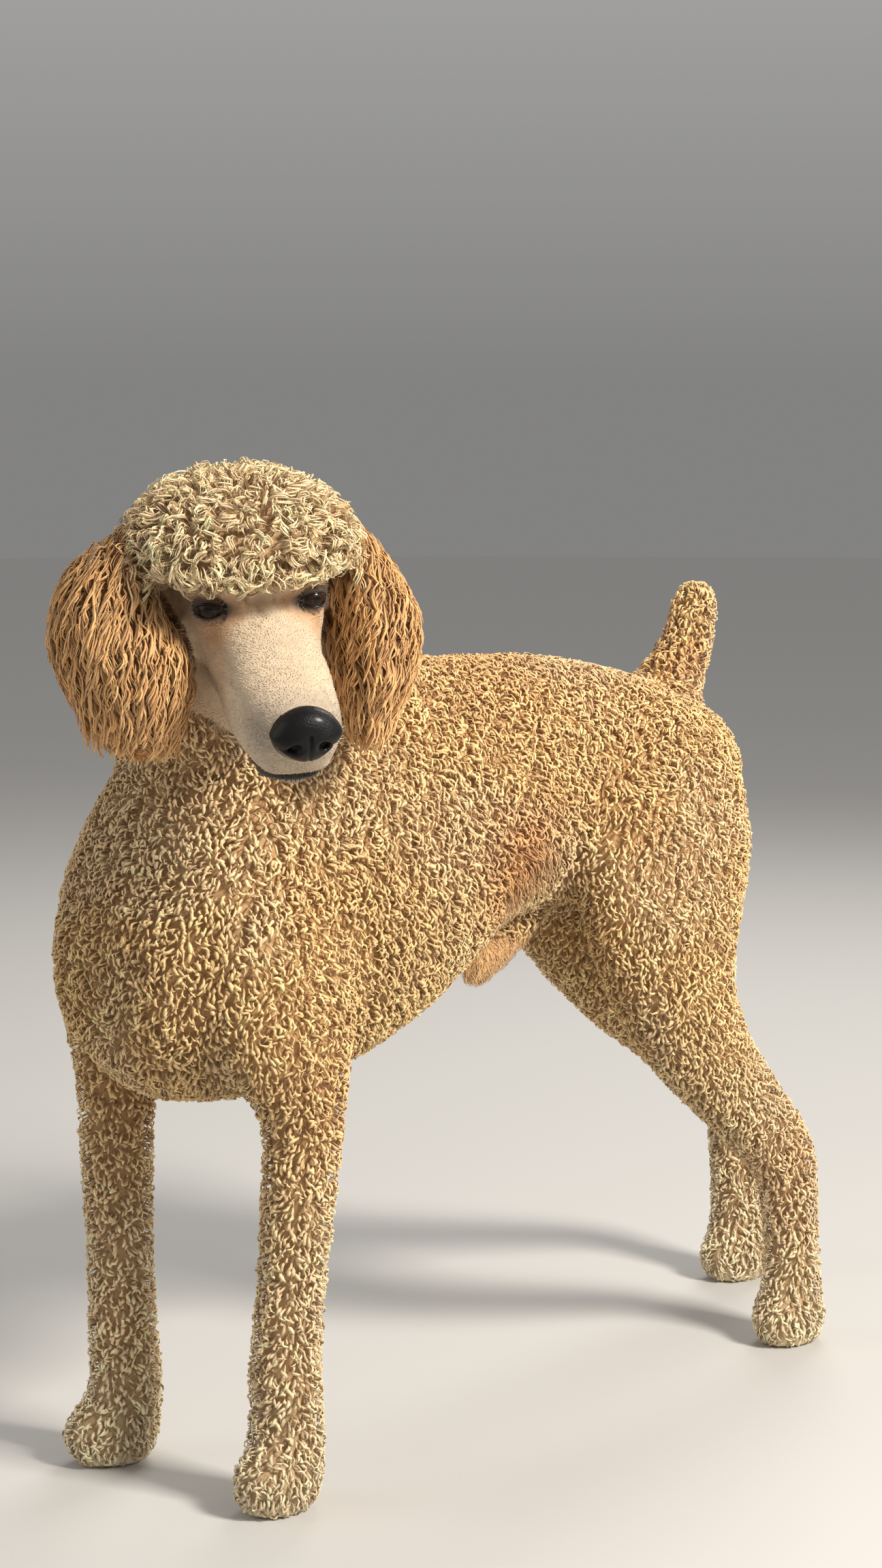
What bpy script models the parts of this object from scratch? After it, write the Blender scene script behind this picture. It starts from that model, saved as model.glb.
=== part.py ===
# A standard poodle standing still, its head turned to its left, modelled out to the tips of its coat.
# Metres, +Z up. The dog faces -Y and its left side is +X. The soles stand on z = 0, and the whole is
# modelled round the chest, then moved so that the middle of its outline seen from above is the origin.
import math

import bmesh
import bpy
import numpy as np
from mathutils import Matrix, Vector

# Driving sizes of the dog
WITHERS_HEIGHT = 0.643
CHEST_DEPTH = 0.340
CHEST_HALF_WIDTH = 0.112
LOIN_HALF_WIDTH = 0.084
FORECHEST_Y = -0.098
BUTTOCK_Y = 0.600
CHEST_SWING = -0.008
FORE_FOOT = {"left": (0.087, 0.006), "right": (-0.096, -0.002)}
FORE_FOOT_TURN = {"left": math.radians(4), "right": math.radians(-16)}
ELBOW = {"left": (0.086, 0.026), "right": (-0.103, 0.004)}
HIND_TRACK = 0.083
HIND_FOOT_Y = {"left": 0.640, "right": 0.781}
HIND_FOOT_TURN = math.radians(6)
FOOT_HALF_LENGTH = 0.043
FOOT_HALF_WIDTH = 0.032
FORE_LEG_RADIUS = 0.0255
HOCK_HEIGHT = 0.172
TAIL_TIP_HEIGHT = 0.684
TAIL_RADIUS = 0.026

# The head's place and turn. Its own axes run forward, left and up from the point between the eyes.
EYE_MIDDLE = Vector((0.1330, -0.0572, 0.6990))
HEAD_YAW = math.radians(61)
HEAD_PITCH = math.radians(23)
HEAD_ROLL = math.radians(-5.4)
MUZZLE_LENGTH = 0.133
MUZZLE_DROP = 0.036
SKULL_HALF_WIDTH = 0.057
TOPKNOT_HALF_WIDTH = 0.083
TOPKNOT_LEAN = -0.003
TOPKNOT_HEIGHT = 0.075
EYE_LEFTWARD = {"left": 0.0350, "right": -0.0385}
EYE_OUTLOOK = 0.28
EYE_UPLOOK = 0.22
EYE_RADIUS = 0.0115
NOSE_HALF_WIDTH = 0.0243
EAR_ROOT = (-0.060, 0.078, 0.027)
EAR_TURN = {"left": math.radians(6), "right": math.radians(20)}

# Each ear from its root down: height, then how far out, how far back, half length and half thickness
EAR_ROWS = {
    "left": (
        (0.752, -0.004, 0.000, 0.028, 0.015),
        (0.724, 0.009, 0.002, 0.042, 0.023),
        (0.685, 0.023, 0.006, 0.050, 0.031),
        (0.655, 0.024, 0.006, 0.048, 0.032),
        (0.630, 0.021, 0.004, 0.042, 0.026),
        (0.612, 0.018, 0.002, 0.030, 0.018)),
    "right": (
        (0.738, 0.000, 0.000, 0.030, 0.018),
        (0.713, 0.018, 0.002, 0.044, 0.030),
        (0.677, 0.021, 0.002, 0.052, 0.043),
        (0.650, 0.010, -0.002, 0.053, 0.044),
        (0.625, 0.001, -0.006, 0.048, 0.040),
        (0.606, -0.003, -0.010, 0.038, 0.026))}

# How finely the solids are faceted, and the gap between pieces that meet
BODY_VOXEL = 0.0045
BODY_TRIANGLES = 4280
HEAD_VOXEL = 0.0032
HEAD_TRIANGLES = 2700
EAR_TRIANGLES = 400
GAP = 0.0003
BIG = 0.6
SIDE = {"left": 1.0, "right": -1.0}

HEAD_TURN = Matrix.Rotation(HEAD_YAW, 3, "Z") @ Matrix.Rotation(HEAD_PITCH, 3, "X")
HEAD_FORWARD = HEAD_TURN @ Vector((0.0, -1.0, 0.0))
HEAD_LEFT = Matrix.Rotation(HEAD_ROLL, 3, -HEAD_FORWARD) @ (HEAD_TURN @ Vector((1.0, 0.0, 0.0)))
HEAD_UP = HEAD_FORWARD.cross(HEAD_LEFT)


def head_point(forward, left, up):
    return EYE_MIDDLE + HEAD_FORWARD * forward + HEAD_LEFT * left + HEAD_UP * up


def clear_scene():
    for found in list(bpy.data.objects):
        bpy.data.objects.remove(found, do_unlink=True)


def material(name, colour, roughness):
    made = bpy.data.materials.new(name)
    made.use_nodes = True
    shader = made.node_tree.nodes["Principled BSDF"]
    shader.inputs["Base Color"].default_value = (*colour, 1.0)
    shader.inputs["Roughness"].default_value = roughness
    return made


def add_object(name, mesh):
    made = bpy.data.objects.new(name, mesh)
    bpy.context.collection.objects.link(made)
    return made


def curve_through(rows, steps):
    """Rows of any width, joined by a smooth curve with this many steps between two of them."""
    rows = np.array(rows, float)
    ends = np.vstack([2 * rows[0] - rows[1], rows, 2 * rows[-1] - rows[-2]])
    out = []
    for i in range(len(rows) - 1):
        a, b, c, d = ends[i:i + 4]
        for t in np.arange(steps) / steps:
            out.append(0.5 * (2 * b + (c - a) * t + (2 * a - 5 * b + 4 * c - d) * t * t
                              + (3 * b - a - 3 * c + d) * t ** 3))
    out.append(rows[-1])
    return np.array(out)


def rounded_ends(rows, end_length):
    """Adds a dome of rows to both ends of a curve of rows x, y, z, half side, half up, half down."""
    start_way = rows[0, :3] - rows[1, :3]
    end_way = rows[-1, :3] - rows[-2, :3]
    start_way = start_way / np.linalg.norm(start_way)
    end_way = end_way / np.linalg.norm(end_way)
    start, end = [], []
    for angle in np.radians([25, 48, 66, 80, 88]):
        for row, way, length, out in ((rows[0], start_way, end_length[0], start),
                                      (rows[-1], end_way, end_length[1], end)):
            dome = row.copy()
            dome[:3] += way * length * math.sin(angle)
            dome[3:] *= math.cos(angle)
            out.append(dome)
    return np.vstack([start[::-1], rows, end])


def loft(rows, side=(1.0, 0.0, 0.0), ends=(0.02, 0.02), steps=5, around=28, squareness=2.0, upright=False):
    """A closed skin over rows of x, y, z, half side, half up and half down, with the side axis given.

    Each ring stands square to the curve through the rows, or upright where that is asked for.
    """
    rows = rounded_ends(curve_through(rows, steps), ends)
    centres = rows[:, :3]
    ways = np.gradient(centres, axis=0)
    mesh = bmesh.new()
    rings = []
    for centre, way, (half_side, half_up, half_down) in zip(centres, ways, rows[:, 3:]):
        way = Vector(way).normalized()
        across = Vector(side)
        across = (across - way * across.dot(way)).normalized()
        upward = Vector((0.0, 0.0, 1.0)) if upright else across.cross(way)
        ring = []
        for k in range(around):
            angle = 2 * math.pi * k / around
            c, s = math.cos(angle), math.sin(angle)
            across_size = half_side * math.copysign(abs(c) ** (2 / squareness), c)
            up_size = (half_up if s > 0 else half_down) * math.copysign(abs(s) ** (2 / squareness), s)
            ring.append(mesh.verts.new(Vector(centre) + across * across_size + upward * up_size))
        rings.append(ring)
    for a, b in zip(rings, rings[1:]):
        for k in range(around):
            mesh.faces.new((a[k], a[k - 1], b[k - 1], b[k]))
    mesh.faces.new(rings[0])
    mesh.faces.new(rings[-1][::-1])
    bmesh.ops.recalc_face_normals(mesh, faces=mesh.faces)
    made = bpy.data.meshes.new("loft")
    mesh.to_mesh(made)
    mesh.free()
    return add_object("loft", made)


def ball(centre, sizes, axes=((1, 0, 0), (0, 1, 0), (0, 0, 1)), rings=12, segments=18):
    """An egg of these half sizes along these axes."""
    mesh = bmesh.new()
    bmesh.ops.create_uvsphere(mesh, u_segments=segments, v_segments=rings, radius=1.0)
    turn = Matrix([Vector(a) for a in axes]).transposed()
    for v in mesh.verts:
        v.co = Vector(centre) + turn @ Vector((v.co.x * sizes[0], v.co.y * sizes[1], v.co.z * sizes[2]))
    bmesh.ops.recalc_face_normals(mesh, faces=mesh.faces)
    made = bpy.data.meshes.new("ball")
    mesh.to_mesh(made)
    mesh.free()
    return add_object("ball", made)


def head_ball(forward, left, up, sizes):
    return ball(head_point(forward, left, up), sizes, (HEAD_FORWARD, HEAD_LEFT, HEAD_UP), 10, 16)


def head_row(forward, up, half_side, half_up, half_down, left=0.0):
    return (*head_point(forward, left, up), half_side, half_up, half_down)


def trunk_row(y, top, bottom, half_width):
    """A section of the trunk. The chest swings a little to the right of the line of the loin."""
    middle = bottom + 0.58 * (top - bottom)
    x = CHEST_SWING * max(0.0, min(1.0, (0.30 - y) / 0.30))
    return (x, y, middle, half_width, top - middle, middle - bottom)


def make_trunk():
    """Forechest, rib cage, loin and croup, seen from the side as a top line and a belly line."""
    top = WITHERS_HEIGHT
    bottom = WITHERS_HEIGHT - CHEST_DEPTH
    wide, loin = CHEST_HALF_WIDTH, LOIN_HALF_WIDTH
    return loft([
        trunk_row(FORECHEST_Y + 0.022, top - 0.165, bottom + 0.035, 0.68 * wide),
        trunk_row(FORECHEST_Y + 0.052, top - 0.105, bottom + 0.010, 0.91 * wide),
        trunk_row(0.00, top - 0.045, bottom, 0.98 * wide),
        trunk_row(0.07, top - 0.008, bottom - 0.002, 1.02 * wide),
        trunk_row(0.14, top, bottom + 0.010, 1.02 * wide),
        trunk_row(0.20, top - 0.002, bottom + 0.032, 0.98 * wide),
        trunk_row(0.25, top - 0.007, bottom + 0.062, 0.93 * wide),
        trunk_row(0.30, top - 0.009, bottom + 0.096, 0.86 * wide),
        trunk_row(0.37, top - 0.012, bottom + 0.110, loin),
        trunk_row(0.44, top - 0.022, bottom + 0.110, 1.04 * loin),
        trunk_row(0.50, top - 0.038, bottom + 0.120, 1.12 * loin),
        trunk_row(BUTTOCK_Y - 0.040, top - 0.058, bottom + 0.140, 0.98 * loin),
    ], ends=(0.022, 0.036), around=36, squareness=2.1, upright=True)


def make_neck():
    """From the withers and forechest up to the back of the skull, bending to the left."""
    skull = head_point(-0.085, 0.0, -0.005)
    return loft([
        (CHEST_SWING, 0.105, 0.490, 0.110, 0.110, 0.116),
        (CHEST_SWING, 0.075, 0.545, 0.113, 0.110, 0.110),
        (0.002, 0.040, 0.600, 0.100, 0.090, 0.094),
        (0.026, 0.004, 0.650, 0.084, 0.074, 0.074),
        (skull.x, skull.y, skull.z, 0.062, 0.062, 0.060),
    ], side=(-1.0, 0.0, 0.0), ends=(0.02, 0.02), around=32)


def make_fore_leg(side):
    """Upper arm under the chest wall, elbow, forearm and pastern, then a round foot."""
    top_x, top_y = ELBOW[side]
    foot_x, foot_y = FORE_FOOT[side]
    r = FORE_LEG_RADIUS

    def down(share, rear=0.0, inward=0.0):
        x = top_x + (foot_x - top_x) * share - SIDE[side] * inward
        return x, top_y + (foot_y - top_y) * share + rear

    return loft([
        (0.72 * top_x, 0.020, 0.505, 0.034, 0.062, 0.050),
        (0.88 * top_x, 0.008, 0.435, 0.040, 0.072, 0.066),
        (0.97 * top_x, 0.014, 0.365, 0.040, 0.066, 0.062),
        (*down(0.0), 0.300, 1.24 * r, 1.50 * r, 1.34 * r),
        (*down(0.22), 0.240, 1.16 * r, 1.28 * r, 1.20 * r),
        (*down(0.48, 0.0, 0.003), 0.170, 1.10 * r, 1.12 * r, 1.10 * r),
        (*down(0.70, 0.0, 0.005), 0.110, 1.15 * r, 1.17 * r, 1.15 * r),
        (*down(0.90, 0.004, 0.004), 0.065, 1.19 * r, 1.22 * r, 1.22 * r),
        (*down(1.0, 0.002, 0.001), 0.030, 1.22 * r, 1.26 * r, 1.26 * r),
    ], ends=(0.03, 0.02))


def make_foot(x, y, turn):
    """A round hairy foot; the part of the egg under the floor is cut off flat."""
    forward = Vector((math.sin(turn), -math.cos(turn), 0.0))
    left = Vector((math.cos(turn), math.sin(turn), 0.0))
    return ball((x, y, 0.024), (FOOT_HALF_LENGTH, FOOT_HALF_WIDTH, 0.034), (forward, left, (0, 0, 1)))


def make_hind_leg(side):
    """Thigh, stifle, gaskin, hock and rear pastern. The right leg stands further back."""
    x = SIDE[side] * HIND_TRACK
    foot_y = HIND_FOOT_Y[side]
    back = foot_y - HIND_FOOT_Y["left"]
    return loft([
        (0.72 * x, 0.490, 0.545, 0.044, 0.086, 0.078),
        (0.86 * x, 0.472 + 0.26 * back, 0.480, 0.052, 0.104, 0.106),
        (0.96 * x, 0.460 + 0.52 * back, 0.410, 0.052, 0.090, 0.088),
        (1.00 * x, 0.466 + 0.72 * back, 0.355, 0.047, 0.074, 0.066),
        (1.02 * x, 0.490 + 0.88 * back, 0.305, 0.041, 0.058, 0.052),
        (1.04 * x, 0.532 + 1.00 * back, 0.258, 0.036, 0.044, 0.042),
        (1.05 * x, 0.582 + 1.04 * back, 0.212, 0.032, 0.037, 0.037),
        (1.05 * x, foot_y - 0.020 + 0.06 * back, HOCK_HEIGHT, 0.029, 0.034, 0.034),
        (1.05 * x, foot_y - 0.008, 0.125, 0.026, 0.029, 0.029),
        (1.05 * x, foot_y - 0.004, 0.075, 0.026, 0.028, 0.028),
        (1.04 * x, foot_y - 0.004, 0.034, 0.029, 0.032, 0.032),
    ], ends=(0.03, 0.02))


def make_tail():
    """Short, thick and upright, with a round tip."""
    r, tip = TAIL_RADIUS, TAIL_TIP_HEIGHT
    return loft([
        (0.0, 0.515, 0.545, 1.4 * r, 1.4 * r, 1.4 * r),
        (0.0, 0.556, 0.585, 1.22 * r, 1.3 * r, 1.3 * r),
        (0.0, 0.580, 0.615, 1.02 * r, 1.04 * r, 1.04 * r),
        (0.0, 0.592, 0.640, 0.92 * r, 0.92 * r, 0.92 * r),
        (0.0, 0.598, tip - 0.020, 0.86 * r, 0.86 * r, 0.86 * r),
    ], ends=(0.01, 0.020))


def make_sheath():
    return loft([
        (0.0, 0.385, 0.420, 0.020, 0.024, 0.024),
        (0.0, 0.352, 0.396, 0.019, 0.022, 0.022),
        (0.0, 0.322, 0.374, 0.017, 0.018, 0.018),
        (0.0, 0.308, 0.364, 0.014, 0.014, 0.014),
    ], ends=(0.01, 0.012), around=18)


def make_head():
    """Skull with cheeks, the clipped muzzle with deep lips over the chin, and the full topknot."""
    wide, length, drop = SKULL_HALF_WIDTH, MUZZLE_LENGTH, MUZZLE_DROP
    skull = loft([
        head_row(-0.125, 0.005, 0.80 * wide, 0.040, 0.040),
        head_row(-0.085, -0.008, 1.00 * wide, 0.050, 0.058),
        head_row(-0.045, -0.018, 0.98 * wide, 0.046, 0.052),
        head_row(-0.010, -0.024, 0.84 * wide, 0.036, 0.043),
        head_row(0.020, -0.028, 0.70 * wide, 0.026, 0.038),
    ], side=-HEAD_LEFT, ends=(0.02, 0.012))
    muzzle = loft([
        head_row(-0.020, -0.028, 0.76 * wide, 0.034, 0.046),
        head_row(0.025, -0.032, 0.72 * wide, 0.028, 0.042),
        head_row(0.060, -drop, 0.66 * wide, 0.024, 0.039),
        head_row(0.090, -drop - 0.004, 0.60 * wide, 0.022, 0.035),
        head_row(length - 0.012, -drop - 0.007, 0.51 * wide, 0.019, 0.028),
    ], side=-HEAD_LEFT, ends=(0.012, 0.014), squareness=2.3)
    lips = loft([
        head_row(0.015, -0.060, 0.64 * wide, 0.022, 0.024),
        head_row(0.055, -0.062, 0.64 * wide, 0.022, 0.024),
        head_row(0.085, -0.062, 0.59 * wide, 0.022, 0.022),
        head_row(length - 0.021, -0.060, 0.47 * wide, 0.020, 0.019),
    ], side=-HEAD_LEFT, ends=(0.014, 0.013), squareness=2.7)
    chin = loft([
        head_row(-0.040, -0.066, 0.66 * wide, 0.026, 0.020),
        head_row(0.030, -0.074, 0.50 * wide, 0.024, 0.019),
        head_row(length - 0.030, -0.075, 0.40 * wide, 0.022, 0.018),
    ], side=-HEAD_LEFT, ends=(0.012, 0.014))
    rise, spread, lean = TOPKNOT_HEIGHT, TOPKNOT_HALF_WIDTH, TOPKNOT_LEAN
    topknot = loft([
        head_row(-0.128, 0.002, 0.72 * spread, 0.50 * rise, 0.040, lean),
        head_row(-0.100, 0.014, 0.92 * spread, 0.61 * rise, 0.044, lean),
        head_row(-0.065, 0.024, 1.00 * spread, 0.65 * rise, 0.040, lean),
        head_row(-0.030, 0.030, 1.00 * spread, 0.61 * rise, 0.030, lean),
        head_row(0.000, 0.033, 0.90 * spread, 0.50 * rise, 0.022, lean),
        head_row(0.016, 0.034, 0.74 * spread, 0.37 * rise, 0.018, lean),
    ], side=-HEAD_LEFT, ends=(0.024, 0.014), around=32)
    orbits = [head_ball(-0.006, s * 0.031, -0.001, (0.0195, 0.0195, 0.0185)) for s in SIDE.values()]
    return [skull, muzzle, lips, chin, topknot] + orbits


def join(pieces, name):
    mesh = bmesh.new()
    for piece in pieces:
        mesh.from_mesh(piece.data)
    made = bpy.data.meshes.new(name)
    mesh.to_mesh(made)
    mesh.free()
    return add_object(name, made)


def settled(made):
    """The object with its modifiers turned into its mesh."""
    graph = bpy.context.evaluated_depsgraph_get()
    mesh = bpy.data.meshes.new_from_object(made.evaluated_get(graph))
    made.modifiers.clear()
    made.data = mesh
    return made


def thinned(made, triangles):
    """The same shape in about this many triangles."""
    made.data.calc_loop_triangles()
    thin = made.modifiers.new("thin", "DECIMATE")
    thin.ratio = triangles / len(made.data.loop_triangles)
    return settled(made)


def fuse(made, voxel, triangles, rounds):
    """One even skin round overlapping pieces, smoothed and then thinned to this many triangles."""
    remesh = made.modifiers.new("fuse", "REMESH")
    remesh.mode = "VOXEL"
    remesh.voxel_size = voxel
    smooth = made.modifiers.new("smooth", "SMOOTH")
    smooth.factor = 0.5
    smooth.iterations = rounds
    settled(made)
    return thinned(made, triangles)


def stand_flat(made):
    """Cuts the soles flat at floor level."""
    mesh = bmesh.new()
    mesh.from_mesh(made.data)
    geometry = list(mesh.verts) + list(mesh.edges) + list(mesh.faces)
    cut = bmesh.ops.bisect_plane(mesh, geom=geometry, plane_co=(0, 0, 0), plane_no=(0, 0, -1),
                                 clear_outer=True)
    rim = [e for e in cut["geom_cut"] if isinstance(e, bmesh.types.BMEdge)]
    bmesh.ops.holes_fill(mesh, edges=rim, sides=0)
    bmesh.ops.triangulate(mesh, faces=mesh.faces)
    bmesh.ops.recalc_face_normals(mesh, faces=mesh.faces)
    mesh.to_mesh(made.data)
    mesh.free()


def boolean(made, cutter, operation):
    cut = made.modifiers.new(operation.lower(), "BOOLEAN")
    cut.operation = operation
    cut.solver = "EXACT"
    cut.object = cutter
    return settled(made)


def block(centre, axes, sizes):
    """A box of these half sizes along these axes."""
    mesh = bmesh.new()
    bmesh.ops.create_cube(mesh, size=2.0)
    turn = Matrix([Vector(a) for a in axes]).transposed()
    for v in mesh.verts:
        v.co = Vector(centre) + turn @ Vector([v.co[i] * sizes[i] for i in range(3)])
    bmesh.ops.recalc_face_normals(mesh, faces=mesh.faces)
    made = bpy.data.meshes.new("block")
    mesh.to_mesh(made)
    mesh.free()
    return add_object("block", made)


def beyond_plane(point, way, side, reach, grow):
    """A block that holds everything on the far side of a plane, out to its reach."""
    way = Vector(way).normalized()
    side = (Vector(side) - way * Vector(side).dot(way)).normalized()
    centre = Vector(point) + way * (0.5 * BIG - grow)
    return block(centre, (side, way.cross(side), way), (reach, reach, 0.5 * BIG))


def arch(side, middle_y, spring_z, radius, foot_y, inner, grow):
    """A block with a round top that holds one leg. Its inner wall leans towards the middle below."""
    s = SIDE[side]
    radius = radius + grow
    outline = [(foot_y[0] - grow, -0.05)]
    for k in range(17):
        angle = math.pi * (1 - k / 16)
        outline.append((middle_y + radius * math.cos(angle), spring_z + radius * math.sin(angle)))
    outline.append((foot_y[1] + grow, -0.05))
    top = spring_z + radius
    mesh = bmesh.new()
    rings = []
    for outer in (False, True):
        ring = []
        for y, z in outline:
            share = (z + 0.05) / (top + 0.05)
            inner_x = inner[0] + (inner[1] - inner[0]) * share - grow
            ring.append(mesh.verts.new((s * (0.4 if outer else inner_x), y, z)))
        rings.append(ring)
    mesh.faces.new(rings[0])
    mesh.faces.new(rings[1][::-1])
    for k in range(len(outline)):
        mesh.faces.new((rings[0][k], rings[0][k - 1], rings[1][k - 1], rings[1][k]))
    bmesh.ops.recalc_face_normals(mesh, faces=mesh.faces)
    made = bpy.data.meshes.new("arch")
    mesh.to_mesh(made)
    mesh.free()
    return add_object("arch", made)


def head_region(grow):
    way = HEAD_FORWARD * 0.60 + HEAD_UP * 0.80
    return beyond_plane(head_point(-0.104, 0.0, -0.046), way, HEAD_LEFT, 0.20, grow)


def neck_region(grow):
    return beyond_plane((0.0, 0.050, 0.575), (0.10, -0.64, 0.76), (1, 0, 0), 0.30, grow)


def tail_region(grow):
    return beyond_plane((0.0, 0.565, 0.588), (0.0, 0.62, 0.78), (1, 0, 0), 0.055, grow)


def fore_leg_region(side, grow):
    return arch(side, 0.028, 0.395, 0.082, (-0.10, 0.09), (0.010, 0.066), grow)


def hind_leg_region(side, grow):
    back = HIND_FOOT_Y[side] - HIND_FOOT_Y["left"]
    return arch(side, 0.475 + 0.35 * back, 0.410, 0.128, (0.26, 0.98 + back), (0.004, 0.046), grow)


def part_off(rest, name, region):
    """Takes the piece inside a region off the rest, leaving the gap between them."""
    piece = add_object(name, rest.data.copy())
    inside, outside = region(0.0), region(GAP)
    boolean(piece, inside, "INTERSECT")
    boolean(rest, outside, "DIFFERENCE")
    bpy.data.objects.remove(inside, do_unlink=True)
    bpy.data.objects.remove(outside, do_unlink=True)
    return piece


def grown_copy(made, distance):
    copy = add_object("grown", made.data.copy())
    mesh = bmesh.new()
    mesh.from_mesh(copy.data)
    mesh.normal_update()
    moved = [v.co + v.normal * distance for v in mesh.verts]
    for v, co in zip(mesh.verts, moved):
        v.co = co
    mesh.to_mesh(copy.data)
    mesh.free()
    return copy


def make_ear(side):
    """A drop ear with its long hair: a thick leaf from beside the topknot down past the jaw."""
    forward, left, up = EAR_ROOT
    root = head_point(forward, SIDE[side] * left, up)
    outward = HEAD_LEFT * SIDE[side]
    outward.z = 0.0
    outward.normalize()
    backward = Vector((0, 0, 1)).cross(outward) * SIDE[side]
    along = backward * math.cos(EAR_TURN[side]) + outward * math.sin(EAR_TURN[side])
    rows = []
    for height, out, rear, half_long, half_thick in EAR_ROWS[side]:
        centre = root + outward * out + backward * rear
        rows.append((centre.x, centre.y, height, half_long, half_thick, half_thick))
    ear = loft(rows, side=along, ends=(0.014, 0.018), around=22, steps=3)
    thinned(ear, EAR_TRIANGLES)
    ear.name = "ear_" + side
    return ear


def eye_centre(side):
    return head_point(0.002, EYE_LEFTWARD[side], 0.001)


def make_eye(side):
    eye = ball(eye_centre(side), (EYE_RADIUS,) * 3, (HEAD_FORWARD, HEAD_LEFT, HEAD_UP), 8, 12)
    eye.name = "eye_" + side
    return eye


def cut_socket(flesh, side):
    """A round seat for the eye, with a short open way out to the front."""
    way = (HEAD_FORWARD + HEAD_LEFT * (EYE_OUTLOOK * SIDE[side]) + HEAD_UP * EYE_UPLOOK).normalized()
    r = EYE_RADIUS + GAP + 0.0002
    centre = eye_centre(side)
    socket = loft([
        (*centre, r, r, r),
        (*(centre + way * 0.012), 0.98 * r, 0.98 * r, 0.98 * r),
        (*(centre + way * 0.030), 1.10 * r, 1.10 * r, 1.10 * r),
    ], side=HEAD_LEFT, ends=(r, 0.004), around=20, steps=2)
    boolean(flesh, socket, "DIFFERENCE")
    bpy.data.objects.remove(socket, do_unlink=True)


def make_nose(flesh):
    """The nose leather, wider above than below, set on the end of the muzzle."""
    w = NOSE_HALF_WIDTH
    nose = head_ball(MUZZLE_LENGTH - 0.004, 0.001, -MUZZLE_DROP - 0.0025, (0.0155, w, 0.020))
    nose.name = "nose"
    grown = grown_copy(nose, GAP)
    boolean(flesh, grown, "DIFFERENCE")
    bpy.data.objects.remove(grown, do_unlink=True)
    return nose


def largest_piece(made):
    """Keeps the biggest connected body of a mesh, without the stray flakes of a cut."""
    mesh = bmesh.new()
    mesh.from_mesh(made.data)
    bmesh.ops.remove_doubles(mesh, verts=mesh.verts, dist=0.00001)
    bmesh.ops.dissolve_degenerate(mesh, edges=mesh.edges, dist=0.00001)
    left = set(mesh.verts)
    groups = []
    while left:
        first = left.pop()
        group, edge = {first}, [first]
        while edge:
            v = edge.pop()
            for link in v.link_edges:
                other = link.other_vert(v)
                if other in left:
                    left.remove(other)
                    group.add(other)
                    edge.append(other)
        groups.append(group)
    groups.sort(key=len)
    for group in groups[:-1]:
        bmesh.ops.delete(mesh, geom=list(group), context="VERTS")
    bmesh.ops.triangulate(mesh, faces=mesh.faces)
    mesh.to_mesh(made.data)
    mesh.free()


def stand_on_origin(solids):
    """Moves all the solids together so that the bottom middle of their shared box is the origin."""
    corners = np.array([v.co for made in solids for v in made.data.vertices])
    low, high = corners.min(axis=0), corners.max(axis=0)
    move = Matrix.Translation((-0.5 * (low[0] + high[0]), -0.5 * (low[1] + high[1]), -low[2]))
    for made in solids:
        made.data.transform(move)


def finish(made, look):
    made.data.materials.clear()
    made.data.materials.append(look)
    made.data.shade_smooth()
    made.data.set_sharp_from_angle(angle=math.radians(50))


def build():
    clear_scene()
    coat = material("coat", (0.72, 0.50, 0.29), 0.9)
    face = material("clipped_face", (0.78, 0.66, 0.50), 0.85)
    ear_coat = material("ear_coat", (0.62, 0.37, 0.17), 0.9)
    leather = material("nose_leather", (0.015, 0.014, 0.015), 0.35)
    eyeball = material("eye_brown", (0.03, 0.014, 0.008), 0.08)

    pieces = [make_trunk(), make_neck(), make_tail(), make_sheath()]
    for side in SIDE:
        pieces.append(make_fore_leg(side))
        pieces.append(make_hind_leg(side))
        x, y = FORE_FOOT[side]
        pieces.append(make_foot(x, y - 0.008, FORE_FOOT_TURN[side]))
        x, y = SIDE[side] * 1.04 * HIND_TRACK, HIND_FOOT_Y[side] - 0.006
        pieces.append(make_foot(x, y, HIND_FOOT_TURN * SIDE[side]))
    head_pieces = make_head()
    flesh = join(pieces + head_pieces, "trunk")
    head = join(head_pieces + [pieces[1]], "head")
    for piece in pieces + head_pieces:
        bpy.data.objects.remove(piece, do_unlink=True)
    fuse(flesh, BODY_VOXEL, BODY_TRIANGLES, 8)
    fuse(head, HEAD_VOXEL, HEAD_TRIANGLES, 6)
    stand_flat(flesh)
    below, above = head_region(0.0), head_region(GAP)
    boolean(head, below, "INTERSECT")
    boolean(flesh, above, "DIFFERENCE")
    bpy.data.objects.remove(below, do_unlink=True)
    bpy.data.objects.remove(above, do_unlink=True)
    ears = []
    for side in SIDE:
        ear = make_ear(side)
        for solid in (head, flesh):
            grown = grown_copy(solid, GAP)
            boolean(ear, grown, "DIFFERENCE")
            bpy.data.objects.remove(grown, do_unlink=True)
        ears.append(ear)
    nose = make_nose(head)
    eyes = []
    for side in SIDE:
        cut_socket(head, side)
        eyes.append(make_eye(side))

    flesh_parts = [part_off(flesh, "tail", tail_region)]
    for side in SIDE:
        flesh_parts.append(part_off(flesh, "leg_front_" + side, lambda g, s=side: fore_leg_region(s, g)))
        flesh_parts.append(part_off(flesh, "leg_hind_" + side, lambda g, s=side: hind_leg_region(s, g)))
    flesh_parts.append(part_off(flesh, "neck", neck_region))
    flesh_parts.append(flesh)
    solids = flesh_parts + ears + [head, nose] + eyes
    for made in solids:
        largest_piece(made)
    stand_on_origin(solids)
    for made in flesh_parts:
        finish(made, coat)
    finish(head, face)
    for made in ears:
        finish(made, ear_coat)
    finish(nose, leather)
    for made in eyes:
        finish(made, eyeball)


build()
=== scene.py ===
# Standard poodle in an apricot clip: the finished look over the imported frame.
# Metres, +Z up. The dog faces -Y, its left is +X, and its head is turned to its left.
import math

import bpy
import numpy as np
from mathutils import Matrix, Vector
from mathutils.kdtree import KDTree


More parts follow.
